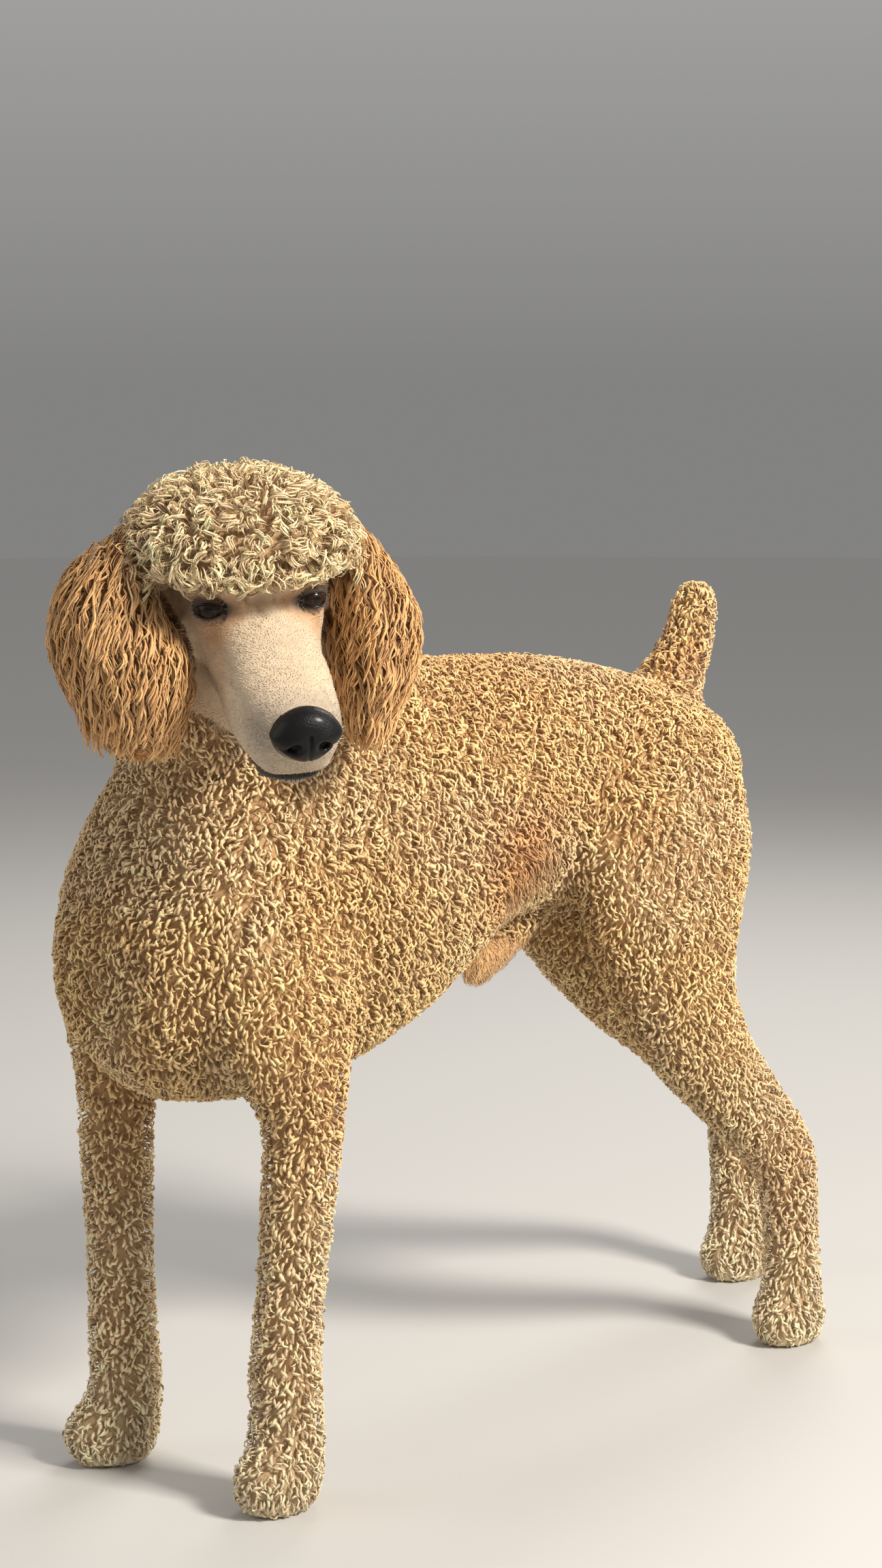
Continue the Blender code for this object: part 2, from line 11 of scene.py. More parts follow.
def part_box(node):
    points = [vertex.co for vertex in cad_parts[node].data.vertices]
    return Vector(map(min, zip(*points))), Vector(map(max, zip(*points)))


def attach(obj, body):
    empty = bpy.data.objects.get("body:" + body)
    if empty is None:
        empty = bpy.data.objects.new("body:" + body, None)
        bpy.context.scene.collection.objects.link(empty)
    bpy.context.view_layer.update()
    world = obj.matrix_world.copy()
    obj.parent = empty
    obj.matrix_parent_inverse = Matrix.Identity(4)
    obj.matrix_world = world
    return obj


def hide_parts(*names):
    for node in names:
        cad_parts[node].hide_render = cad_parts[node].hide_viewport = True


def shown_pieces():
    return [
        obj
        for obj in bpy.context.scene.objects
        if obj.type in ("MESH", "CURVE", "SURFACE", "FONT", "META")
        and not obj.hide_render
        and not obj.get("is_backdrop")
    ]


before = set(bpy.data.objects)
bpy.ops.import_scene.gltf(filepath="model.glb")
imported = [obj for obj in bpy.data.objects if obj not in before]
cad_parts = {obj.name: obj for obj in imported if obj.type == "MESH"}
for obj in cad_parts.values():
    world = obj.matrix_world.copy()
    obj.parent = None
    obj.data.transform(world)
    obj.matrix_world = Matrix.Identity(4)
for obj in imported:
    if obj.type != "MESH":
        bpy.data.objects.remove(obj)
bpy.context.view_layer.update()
print("frame loaded:", len(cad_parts), "nodes")


# The head's own axes, forward, left and up from between the eyes, as the CAD has them
headPose = {"yaw": 61, "pitch": 23, "roll": -5.4, "eyes": (0.002, -0.00175, 0.001),
            "fromChest": (0.1330, -0.0572, 0.6990)}


def boxMiddle(node):
    low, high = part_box(node)
    return (low + high) / 2


headTurn = (Matrix.Rotation(math.radians(headPose["yaw"]), 3, "Z")
            @ Matrix.Rotation(math.radians(headPose["pitch"]), 3, "X"))
headForward = headTurn @ Vector((0, -1, 0))
headRoll = Matrix.Rotation(math.radians(headPose["roll"]), 3, -headForward)
headLeft = headRoll @ (headTurn @ Vector((1, 0, 0)))
headUp = headForward.cross(headLeft)
headAxes = np.array([headForward, headLeft, headUp])
eyesForward, eyesLeft, eyesUp = headPose["eyes"]
eyeMiddle = ((boxMiddle("eye_left") + boxMiddle("eye_right")) / 2
             - headForward * eyesForward - headLeft * eyesLeft - headUp * eyesUp)
chestPlace = np.array(eyeMiddle - Vector(headPose["fromChest"]))  # on the floor between the fore feet


def toHead(points):
    return (np.asarray(points) - np.array(eyeMiddle)) @ headAxes.T


def fromHead(places):
    return np.array(eyeMiddle) + np.asarray(places, float) @ headAxes


def toBody(points):
    return np.asarray(points) - chestPlace


def unit(vectors):
    return vectors / np.maximum(np.linalg.norm(vectors, axis=-1, keepdims=True), 1e-9)


def ease(value, low, high):
    t = np.clip((value - low) / (high - low), 0, 1)
    return t * t * (3 - 2 * t)


def drift(points, size, seed, waves=8):  # a smooth random value about -1 to 1, with bumps of this size
    rng = np.random.default_rng(seed)
    ways = unit(rng.normal(size=(waves, 3))) * (2 * math.pi / size) * rng.uniform(0.5, 1.4, (waves, 1))
    return np.sin(points @ ways.T + rng.uniform(0, 2 * math.pi, waves)).mean(1) * 1.9


def treeOf(points):
    tree = KDTree(len(points))
    for k, point in enumerate(points):
        tree.insert(point, k)
    tree.balance()
    return tree


def addNode(nodes, kind, **values):
    node = nodes.new(kind)
    for key, value in values.items():
        node.inputs[key.replace("_", " ")].default_value = value
    return node


# Camera, light and floor
shot = {"fromEyes": (1.7796, -1.6875, 0.158), "down": 6.75, "turned": 43.5, "lens": 78.16, "sensor": 36}
backdrop = {"radius": 14, "drop": 0.0005, "floorTone": (0.52, 0.51, 0.495, 1),
            "skyTone": (0.84, 0.83, 0.82, 1), "horizon": 0.27, "sky": 0.46, "fadeTo": 0.14}
lamps = {"aim": (0, 0, 0.4), "each": [  # name, place, width, power and tone
    ("keyLight", (2.4, 0.1, 2.3), 0.7, 150, (1, 0.94, 0.85)),
    ("fillLight", (-1.6, -2.4, 1.5), 2.2, 16, (1, 0.97, 0.94)),
    ("rimLight", (-1.2, 2.2, 2.4), 1.4, 45, (1, 0.97, 0.92))]}


def makeCamera():
    cameraData = bpy.data.cameras.new("camera")
    cameraData.lens = shot["lens"]
    cameraData.sensor_width = shot["sensor"]
    camera = bpy.data.objects.new("camera", cameraData)
    bpy.context.collection.objects.link(camera)
    camera.location = eyeMiddle + Vector(shot["fromEyes"])
    camera.rotation_euler = (math.radians(90 - shot["down"]), 0, math.radians(shot["turned"]))
    bpy.context.scene.camera = camera


def makeFloor():
    bpy.ops.mesh.primitive_circle_add(vertices=96, radius=backdrop["radius"], fill_type="NGON",
                                      location=(0, 0, -backdrop["drop"]))
    floor = bpy.context.object
    floor.name = "floor"
    pale = bpy.data.materials.new("paleFloor")
    pale.use_nodes = True
    shader = pale.node_tree.nodes["Principled BSDF"]
    shader.inputs["Base Color"].default_value = backdrop["floorTone"]
    shader.inputs["Roughness"].default_value = 0.9
    floor.data.materials.append(pale)
    floor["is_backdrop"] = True


def makeSky():  # dimmer at the horizon, where it meets the floor
    world = bpy.data.worlds.new("studio")
    world.use_nodes = True
    nodes, links = world.node_tree.nodes, world.node_tree.links
    nodes["Background"].inputs["Color"].default_value = backdrop["skyTone"]
    place = nodes.new("ShaderNodeTexCoord")
    parts = nodes.new("ShaderNodeSeparateXYZ")
    fade = addNode(nodes, "ShaderNodeMapRange", From_Max=backdrop["fadeTo"], To_Min=backdrop["horizon"],
                   To_Max=backdrop["sky"])
    links.new(place.outputs["Generated"], parts.inputs["Vector"])
    links.new(parts.outputs["Z"], fade.inputs["Value"])
    links.new(fade.outputs["Result"], nodes["Background"].inputs["Strength"])
    bpy.context.scene.world = world


def makeLamps():
    for name, place, width, power, tone in lamps["each"]:
        lamp = bpy.data.lights.new(name, "AREA")
        lamp.size, lamp.energy, lamp.color = width, power, tone
        holder = bpy.data.objects.new(name, lamp)
        bpy.context.collection.objects.link(holder)
        holder.location = place
        holder.rotation_euler = (Vector(place) - Vector(lamps["aim"])).to_track_quat("Z", "Y").to_euler()


makeCamera()
makeFloor()
makeSky()
makeLamps()
bpy.context.scene.view_settings.view_transform = "Standard"
print("stage, camera and lights made")


# Skin: one body under the coat, joined from the nodes of flesh
skinShape = {"weld": 0.00001, "grow": 0.0004, "cell": 0.0058, "smooth": 3, "faceCuts": 2}
# what is cut finer, in the head's axes: from the cheeks forward, as far as the nose leather
fineFace = {"back": -0.055, "backStep": 0.012, "wide": 0.062, "top": 0.026, "bottom": -0.115, "front": 0.16,
            "throat": -0.085}


def activate(*pieces):
    bpy.ops.object.select_all(action="DESELECT")
    for piece in pieces:
        piece.select_set(True)
    bpy.context.view_layer.objects.active = pieces[0]


def applyModifier(piece, kind, **settings):
    activate(piece)
    modifier = piece.modifiers.new(kind.lower(), kind)
    for key, value in settings.items():
        setattr(modifier, key, value)
    bpy.ops.object.modifier_apply(modifier=modifier.name)


def joinedCopy(nodes, name):
    copies = []
    for node in nodes:
        copy = bpy.data.objects.new(name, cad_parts[node].data.copy())
        bpy.context.collection.objects.link(copy)
        copies.append(copy)
    activate(*copies)
    bpy.ops.object.join()
    bpy.ops.object.mode_set(mode="EDIT")
    bpy.ops.mesh.select_all(action="SELECT")
    bpy.ops.mesh.remove_doubles(threshold=skinShape["weld"])
    bpy.ops.transform.shrink_fatten(value=skinShape["grow"])  # closes the thin cuts between the nodes
    bpy.ops.object.mode_set(mode="OBJECT")
    return bpy.context.object


def readAll(items, key, width, kind=np.float32):
    flat = np.zeros(len(items) * width, kind)
    items.foreach_get(key, flat)
    return flat.reshape(-1, width)


def pointsOf(mesh):
    return readAll(mesh.vertices, "co", 3).astype(float)


def setPoints(mesh, points):
    mesh.vertices.foreach_set("co", points.astype(np.float32).ravel())
    mesh.update()


def normalsOf(mesh):
    return readAll(mesh.vertex_normals, "vector", 3).astype(float)


def spread(values, edges, rounds, count):  # each vertex takes in its neighbours' mean
    values = np.asarray(values, float)
    flat = values.reshape(len(values), -1)
    links = np.bincount(edges.ravel(), minlength=count)
    for _ in range(rounds):
        total = np.stack([np.bincount(edges[:, 0], flat[edges[:, 1], k], count)
                          + np.bincount(edges[:, 1], flat[edges[:, 0], k], count)
                          for k in range(flat.shape[1])], 1)
        flat = 0.5 * flat + 0.5 * total / np.maximum(links, 1)[:, None]
    return flat.reshape(values.shape)


def nearestNode(points):  # which CAD node each point belongs to
    names = sorted(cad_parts)
    spots, owners = [], []
    for k, name in enumerate(names):
        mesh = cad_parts[name].data
        mesh.calc_loop_triangles()
        corners = pointsOf(mesh)[readAll(mesh.loop_triangles, "vertices", 3, np.int32)]
        # the middle of each triangle, a place near each corner, and the middles of its edges
        for shares in ((1, 1, 1), (4, 1, 1), (1, 4, 1), (1, 1, 4), (1, 1, 0), (0, 1, 1), (1, 0, 1)):
            spots.append(np.einsum("nkc,k->nc", corners, np.array(shares) / sum(shares)))
            owners.append(np.full(len(corners), k))
    spots, owners = np.concatenate(spots), np.concatenate(owners)
    tree = treeOf(spots)
    return names, owners[[tree.find(p)[1] for p in points]]


def selectFaces(piece, chosen):
    bpy.context.tool_settings.mesh_select_mode = (False, False, True)
    mesh = piece.data
    for part in (mesh.vertices, mesh.edges):
        part.foreach_set("select", np.zeros(len(part), bool))
    mesh.polygons.foreach_set("select", chosen)


skin = joinedCopy(sorted(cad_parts), "skin")
applyModifier(skin, "REMESH", mode="VOXEL", voxel_size=skinShape["cell"])
applyModifier(skin, "SMOOTH", factor=0.5, iterations=skinShape["smooth"])
for level in range(skinShape["faceCuts"]):
    f, l, u = toHead(readAll(skin.data.polygons, "center", 3).astype(float)).T
    near = (f > fineFace["back"] + fineFace["backStep"] * level) & (f + 0.5 * u < fineFace["front"])
    near &= (np.abs(l) < fineFace["wide"]) & (u < fineFace["top"]) & (u > fineFace["bottom"])
    selectFaces(skin, near & (f - 0.9 * (u + 0.05) > fineFace["throat"]))
    activate(skin)
    bpy.ops.object.mode_set(mode="EDIT")
    bpy.ops.mesh.subdivide(number_cuts=1)
    bpy.ops.mesh.vertices_smooth(factor=0.5, repeat=3)
    bpy.ops.object.mode_set(mode="OBJECT")
print("skin:", len(skin.data.vertices), "vertices")

outline = pointsOf(skin.data)
count = len(outline)
edges = readAll(skin.data.edges, "vertices", 2, np.int32)
nodeNames, nodeOf = nearestNode(outline)
isNode = {name: (nodeOf == k).astype(float) for k, name in enumerate(nodeNames)}
headNodes = isNode["head"] + isNode["nose"] + isNode["eye_left"] + isNode["eye_right"]
legs = sum(isNode[name] for name in nodeNames if name.startswith("leg"))
print("skin labelled")


# Face: lids, lips, nose seat and cheeks shaped on the skin
eyeShape = {"radius": 0.0115, "outward": 0.28, "upward": 0.22, "halfWide": 0.0103, "halfUpper": 0.0053,
            "halfLower": 0.0049, "corner": 1.8, "lid": 0.0015, "fold": 0.0008, "foldAt": 1.75,
            "foldWidth": 0.16, "reachOut": 0.028, "behind": -0.006, "pocket": -0.002}
lipLine = [(0.1300, -0.0690), (0.1230, -0.0755), (0.1120, -0.0795), (0.0950, -0.0820), (0.0750, -0.0835),
           (0.0550, -0.0830), (0.0400, -0.0795), (0.0300, -0.0750)]


def eyeFrame(side):
    s = 1 if side == "left" else -1
    centre = np.array(boxMiddle("eye_" + side))
    way = unit(np.array(headForward + headLeft * (eyeShape["outward"] * s) + headUp * eyeShape["upward"]))
    outward = np.array(headLeft) * s
    outward = unit(outward - way * (outward @ way))
    upward = np.cross(way, outward) * s
    return centre, way, outward, upward


def almond(x, y):  # below 1 inside the opening between the lids
    half = np.where(y > 0, eyeShape["halfUpper"], eyeShape["halfLower"])
    k = eyeShape["corner"]
    return ((np.abs(x) / eyeShape["halfWide"]) ** k + (np.abs(y) / half) ** k) ** (1 / k)


def shapeLids(points):
    for side in ("left", "right"):
        centre, way, outward, upward = eyeFrame(side)
        away = points - centre
        x, y, z = away @ outward, away @ upward, away @ way
        near = (z > eyeShape["behind"]) & (np.hypot(x, y) < eyeShape["reachOut"])
        reach = almond(x, y)
        # the vertices near the opening's edge are drawn to either side of it
        snap = near & (reach > 0.80) & (reach < 1.16)
        aim = np.where(reach > 0.96, 1.02, 0.93)
        scale = np.where(snap, aim / np.maximum(reach, 0.1), 1)
        x, y = x * scale, y * scale
        reach = np.where(snap, aim, reach)
        flat = np.hypot(x, y)
        ball = eyeShape["radius"]
        lidBall = ball + eyeShape["lid"] * (0.55 + 0.45 * ease(reach, 1.0, 1.35))
        fold = np.exp(-((reach - eyeShape["foldAt"]) / eyeShape["foldWidth"]) ** 2) * (y > 0)
        lidBall = lidBall - eyeShape["fold"] * fold
        onLid = np.sqrt(np.maximum(lidBall ** 2 - flat ** 2, 0))
        hold = near * (1 - ease(reach, 1.55, 2.7)) * (flat < 0.98 * lidBall)
        deep = np.minimum(z, eyeShape["pocket"])
        newZ = np.where(reach < 0.99, deep, hold * onLid + (1 - hold) * z)
        newZ = np.where(near, newZ, z)
        moved = centre + np.outer(x, outward) + np.outer(y, upward) + np.outer(newZ, way)
        points = np.where(near[:, None], moved, points)
    return points


def lipDistance(f, u):  # signed distance from the mouth line, above it positive
    line = np.array(lipLine)
    best = np.full(len(f), 9.0)
    sign = np.ones(len(f))
    spot = np.stack([f, u], 1)
    for a, b in zip(line, line[1:]):
        way = b - a
        t = np.clip(((spot - a) @ way) / (way @ way), 0, 1)
        gap = spot - (a + t[:, None] * way)
        far = np.hypot(gap[:, 0], gap[:, 1])
        closer = far < best
        best = np.where(closer, far, best)
        sign = np.where(closer, np.sign(gap[:, 0] * way[1] - gap[:, 1] * way[0]), sign)
    return best * sign


faceShape = {
    "lumps": [  # forward, sideways, up, size and height
        (0.034, 0.034, -0.030, 0.016, -0.0028),  # hollow under the eye
        (-0.028, 0.050, -0.034, 0.022, 0.0026),  # cheekbone
        (0.100, 0.032, -0.052, 0.018, 0.0022),  # upper lip beside the nose
        (0.062, 0.034, -0.060, 0.018, 0.0012),  # upper lip further back
        (0.014, 0.000, 0.004, 0.012, -0.0016)],  # furrow between the brows
    "gape": 0.0017, "cornerGape": 0.0022, "cornerAt": 0.045, "cornerSize": 0.016,
    "groove": 0.0052, "upperEdge": 0.0010, "lowerLip": 0.0085,
    "seatMiddle": (0.1285, 0.001, -0.0385), "seatHalf": (0.0165, 0.0243, 0.0200), "seatDepth": 0.0160}


def shapeFace(points, normals):
    f, l, u = toHead(points).T
    push = np.zeros(len(points))
    wide = np.abs(l)
    for cf, cl, cu, size, height in faceShape["lumps"]:
        push += height * np.exp(-(((f - cf) ** 2 + (wide - cl) ** 2 + (u - cu) ** 2) / size ** 2))
    mouth = lipDistance(f, u)
    along = ease(f, 0.024, 0.040)
    # the lips part a little towards the corner
    corner = np.exp(-((f - faceShape["cornerAt"]) / faceShape["cornerSize"]) ** 2)
    gape = faceShape["gape"] + faceShape["cornerGape"] * corner
    groove = np.exp(-((mouth + 0.5 * gape) / gape) ** 4) * along
    push += -faceShape["groove"] * groove
    push += faceShape["upperEdge"] * np.exp(-((mouth - 0.0045) / 0.0030) ** 2) * along
    lower = ease(-mouth, 0.0015, 0.0045) * (1 - ease(-mouth, 0.012, 0.024)) * along * ease(wide, 0.008, 0.020)
    push += faceShape["lowerLip"] * lower * (1 - ease(f, 0.080, 0.110))
    points = points + normals * (push * headNodes)[:, None]
    # the seat of the nose leather
    places = toHead(points)
    gap = (places - faceShape["seatMiddle"]) / faceShape["seatHalf"]
    inside = 1 - ease(np.linalg.norm(gap, axis=1), 0.84, 1.04)
    places[:, 0] -= faceShape["seatDepth"] * inside * headNodes
    return fromHead(places), mouth, along


setPoints(skin.data, outline)
outline, mouthGap, mouthAlong = shapeFace(outline, normalsOf(skin.data))
outline = shapeLids(outline)
setPoints(skin.data, outline)
print("face shaped")


# How deep the coat is over each part, and what is clipped short
coatDepth = {"trunk": 0.0090, "neck": 0.0090, "tail": 0.0085, "ear_left": 0.0120, "ear_right": 0.0120,
             "leg_front_left": 0.0085, "leg_front_right": 0.0085, "leg_hind_left": 0.0085,
             "leg_hind_right": 0.0085, "head": 0.0140, "nose": 0.0004, "eye_left": 0.0004,
             "eye_right": 0.0004}
clip = {"face": 0.0007, "sheath": 0.003, "foot": 0.35, "footTop": 0.075, "sole": 0.003, "thinnest": 0.75,
        "brim": 0.0185, "brimBack": 0.10, "brimSide": 0.30, "brimSoft": 0.004, "floorGap": 0.0006}
sheath = {"halfWide": 0.030, "top": 0.41, "level": 0.385, "soft": 0.02, "front": (0.285, 0.295),
          "back": (0.370, 0.400)}

f, l, u = toHead(outline).T
wide = np.abs(l)
# the topknot starts over the eyes, and at the sides it comes down to the top of the ear
brim = (clip["brim"] - clip["brimBack"] * np.maximum(0, -f - 0.02)
        - clip["brimSide"] * np.maximum(0, wide - 0.042))
topknot = headNodes * ease(u, brim - clip["brimSoft"], brim + clip["brimSoft"])
topknot = np.maximum(topknot, headNodes * ease(-f, 0.070, 0.082))
# the clipped throat runs down the front of the neck in a V
throat = (isNode["neck"] + headNodes) * ease(f, -0.085, -0.055) * (1 - ease(-u + 0.9 * wide, 0.130, 0.150))
throat = np.clip(throat, 0, 1) * (u < -0.05)
clipped = np.maximum(headNodes * (1 - topknot), throat)
body = toBody(outline)
aboveSheath = np.maximum(0, body[:, 2] - sheath["level"])
sheathGap = np.hypot(body[:, 0] / sheath["halfWide"], aboveSheath / sheath["soft"])
onSheath = (1 - ease(sheathGap, 0.7, 1.0)) * ease(body[:, 1], *sheath["front"])
onSheath = onSheath * (1 - ease(body[:, 1], *sheath["back"])) * isNode["trunk"] * (body[:, 2] < sheath["top"])
depth = sum(isNode[name] * value for name, value in coatDepth.items())
foot = ease(clip["footTop"] - body[:, 2], 0, 0.05)
depth = depth * (1 - clip["foot"] * foot)
depth = depth * (1 - clipped) + clip["face"] * clipped
depth = depth * (1 - onSheath) + clip["sheath"] * onSheath
depth = np.where(outline[:, 2] < clip["sole"], 0.0, depth)
smoothDepth = spread(depth, edges, 6, count)
depth = np.where(clipped > 0.5, np.minimum(depth, smoothDepth), smoothDepth)
clippedSoft = spread(clipped, edges, 3, count)

normals = normalsOf(skin.data)
softNormals = unit(spread(normals, edges, 8, count))
inner = outline - softNormals * depth[:, None]
relaxed = spread(inner, edges, 6, count)
furred = ease(depth, 0.002, 0.006)[:, None]
inner = inner * (1 - furred) + relaxed * furred
under = ((outline - inner) * softNormals).sum(1)
inner -= softNormals * np.clip(clip["thinnest"] * depth - under, 0, 0.02)[:, None]
inner[:, 2] = np.maximum(inner[:, 2], clip["floorGap"])
setPoints(skin.data, inner)
print("skin drawn in under the coat")

activate(skin)
bpy.ops.object.mode_set(mode="EDIT")
bpy.ops.mesh.select_all(action="SELECT")
bpy.ops.uv.smart_project(angle_limit=math.radians(66), island_margin=0.001)
bpy.ops.object.mode_set(mode="OBJECT")
skin.data.uv_layers.active.name = "OFBake"
skin.data.shade_smooth()
print("skin unwrapped")


# Which way the coat lies at each vertex
coatLay = {"back": 0.16, "flankBack": 0.65, "flank": (0.30, 0.45), "flankSize": 0.06, "spread": 0.55,
           "neckBack": 0.10, "tailBack": 0.15, "crown": (-0.050, -0.003, -0.030), "parting": 0.006}


def layOfCoat():
    body = toBody(outline)
    f, l, u = toHead(outline).T
    side = np.tanh(body[:, 0] / 0.05)
    down = np.zeros((count, 3)) + (0, 0, -1.0)
    # back and down in front of the thigh, elsewhere nearly straight down
    gap = (body[:, 1:] - coatLay["flank"]) / coatLay["flankSize"]
    sweep = coatLay["back"] + coatLay["flankBack"] * np.exp(-gap[:, 0] ** 2 - gap[:, 1] ** 2)
    outward = coatLay["spread"] * side * np.clip(normals[:, 2], 0, 1)
    lie = {name: down for name in nodeNames if name.startswith(("leg", "ear"))}
    lie["trunk"] = np.stack([outward, sweep, np.full(count, -1.0)], 1)
    lie["neck"] = down + (0, coatLay["neckBack"], 0)
    lie["tail"] = np.zeros((count, 3)) + (0, coatLay["tailBack"], 1.0)
    crownF, crownL, crownU = coatLay["crown"]
    hair = np.stack([f - crownF, l - crownL, np.full(count, crownU)], 1) @ headAxes  # away from the crown
    part = np.tanh(l / coatLay["parting"])
    top = np.clip(normals @ np.array(headUp), 0, 1)
    under = np.clip(-normals @ np.array(headUp), 0, 1)
    # on the face it runs back from the nose, parted along the bridge
    aside, below = part * (0.12 + 0.55 * top), -0.40 * (1 - top) - 0.3 * under
    short = np.stack([np.full(count, -1.0), aside, below], 1) @ headAxes
    mixed = unit(hair) * topknot[:, None] + unit(short) * (1 - topknot)[:, None]
    for name in ("head", "nose", "eye_left", "eye_right"):
        lie[name] = mixed
    total = sum(unit(way) * isNode[name][:, None] for name, way in lie.items())
    total = spread(total, edges, 5, count)
    total -= softNormals * (total * softNormals).sum(1, keepdims=True)
    return unit(total)


lieWay = layOfCoat()


# Colours: one function for skin and coat, so both carry the same markings
tones = {
    "body": (0.900, 0.635, 0.310), "pale": (0.930, 0.740, 0.480), "topknot": (0.930, 0.720, 0.450),
    "face": (0.600, 0.475, 0.330), "rust": (0.640, 0.280, 0.085), "ear": (0.800, 0.470, 0.200),
    "foot": (0.880, 0.750, 0.510), "stainAndShade": (0.460, 0.240, 0.100), "grey": (0.200, 0.165, 0.140),
    "lip": (0.018, 0.014, 0.013), "rim": (0.022, 0.014, 0.011)}
rustPatches = {  # share, middle and half sizes in the body's frame
    "loin": (0.30, (0, 0.30, 0.63), (0.10, 0.14, 0.05)),
    "flank": (0.80, (0.090, 0.275, 0.475), (0.07, 0.056, 0.052)),
    "hock": (0.40, (0.086, 0.63, 0.18), (0.04, 0.06, 0.05)),
    "elbow": (0.25, (0.095, 0.03, 0.31), (0.04, 0.05, 0.05)),
    "tailRoot": (0.45, (0, 0.57, 0.605), (0.05, 0.04, 0.03))}
faceTones = {"tearAt": (0.012, 0.036, -0.014), "tearSize": (0.016, 0.012, 0.014),
             "noseShade": (0.118, -0.040), "noseShadeSize": (0.022, 0.030)}


def coatTone():
    body = toBody(outline)
    height = body[:, 2]
    f, l, u = toHead(outline).T
    wide = np.abs(l)
    tone = np.zeros((count, 3)) + tones["body"]

    def lay(name, share):
        nonlocal tone
        share = np.clip(share, 0, 1)[:, None]
        tone = tone * (1 - share) + np.array(tones[name]) * share

    def layRust(part, side=1):
        share, middle, size = rustPatches[part]
        gap = (body - np.array(middle) * (side, 1, 1)) / size
        lay("rust", share * np.exp(-(gap ** 2).sum(1)))

    lay("pale", 0.70 * legs * ease(0.36 - height, 0, 0.22))
    lay("foot", 0.85 * ease(0.12 - height, 0, 0.10))
    lay("pale", 0.45 * isNode["neck"])
    lay("pale", 0.50 * ease(drift(outline, 0.11, 15), -0.1, 0.7))
    mottled = 0.5 + 0.5 * drift(outline, 0.09, 5)
    lay("rust", 0.16 * mottled * ease(height, 0.30, 0.50) * (1 - headNodes))
    layRust("loin")
    for side in (1, -1):
        for part in ("flank", "hock", "elbow"):
            layRust(part, side)
    layRust("tailRoot")
    lay("ear", isNode["ear_left"] + isNode["ear_right"])
    lay("topknot", topknot)
    lay("face", clippedSoft)
    for side in (1, -1):
        gap = (np.stack([f, l, u], 1) - np.array(faceTones["tearAt"]) * (1, side, 1)) / faceTones["tearSize"]
        lay("stainAndShade", 0.80 * np.exp(-(gap ** 2).sum(1)) * clippedSoft)
    lay("stainAndShade", 0.45 * clippedSoft * ease(wide, 0.026, 0.048) * ease(-f, -0.02, 0.04))
    blotches = ease(0.5 + 0.5 * drift(outline, 0.035, 25), 0.3, 0.9)
    lay("stainAndShade", 0.22 * clippedSoft * blotches * (1 - ease(f, 0.06, 0.10)))
    gap = (np.stack([f, u], 1) - faceTones["noseShade"]) / faceTones["noseShadeSize"]
    lay("grey", 0.55 * clippedSoft * np.exp(-(gap ** 2).sum(1)))
    lay("stainAndShade", 0.25 * clippedSoft * np.exp(-((mouthGap + 0.004) / 0.008) ** 2) * mouthAlong)
    lay("lip", 0.97 * clippedSoft * np.exp(-((mouthGap + 0.0022) / 0.0034) ** 4) * mouthAlong)
    lay("stainAndShade", 0.55 * onSheath)
    # around each eye the black rim is the lids' own pigment; the wide brown and grey rings are partly dark
    # lids and partly painted shade of the deep socket under the brow
    for side in ("left", "right"):
        centre, way, outward, upward = eyeFrame(side)
        away = outline - centre
        reach = almond(away @ outward, away @ upward)
        ahead = (away @ way > 0) & (np.linalg.norm(away, axis=1) < 0.03)
        lay("stainAndShade", (1 - ease(reach, 1.6, 3.4)) * ahead * 0.80)
        lay("grey", (1 - ease(reach, 1.4, 2.5)) * ahead * 0.60)
        lay("rim", (1 - ease(reach, 1.22, 1.95)) * ahead * 0.95)
    return tone


vertexTone = coatTone()


def setTone(mesh, colours, name="coatTone"):
    layer = mesh.color_attributes.new(name, "FLOAT_COLOR", "POINT")
    layer.data.foreach_set("color", np.c_[colours, np.ones(len(colours))].astype(np.float32).ravel())


shadeUnderCoat = (0.48, 0.57, 0.66)  # painted shade: how much red, green and blue the skin loses under long hair, so the gaps between the locks read as shadow
setTone(skin.data, vertexTone * (1 - furred * np.array(shadeUnderCoat)))
setTone(skin.data, np.repeat(furred, 3, axis=1), "woolShare")


# Finishes
def newMaterial(name, roughness, **sockets):
    made = bpy.data.materials.new(name)
    made.use_nodes = True
    shader = made.node_tree.nodes["Principled BSDF"]
    shader.inputs["Roughness"].default_value = roughness
    for key, value in sockets.items():
        shader.inputs[key.replace("_", " ")].default_value = value
    return made, made.node_tree.nodes, made.node_tree.links, shader


def toneNode(nodes, name="coatTone"):
    node = nodes.new("ShaderNodeVertexColor")
    node.layer_name = name
    return node


def noiseNode(nodes, links, scale, detail):
    place = nodes.new("ShaderNodeTexCoord")
    noise = addNode(nodes, "ShaderNodeTexNoise", Scale=scale, Detail=detail)
    links.new(place.outputs["Object"], noise.inputs["Vector"])
    return noise


def shade(nodes, links, colour, factor, dark, light):  # colour times a grey between dark and light
    grey = addNode(nodes, "ShaderNodeMapRange", From_Min=0.3, From_Max=0.7, To_Min=dark, To_Max=light)
    links.new(factor, grey.inputs["Value"])
    times = nodes.new("ShaderNodeMix")
    times.data_type = "RGBA"
    times.blend_type = "MULTIPLY"
    times.inputs["Factor"].default_value = 1
    links.new(colour, times.inputs["A"])
    links.new(grey.outputs["Result"], times.inputs["B"])
    return times.outputs["Result"]


def addBump(nodes, links, shader, height, strength, distance):
    bump = addNode(nodes, "ShaderNodeBump", Strength=strength, Distance=distance)
    links.new(height, bump.inputs["Height"])
    links.new(bump.outputs["Normal"], shader.inputs["Normal"])


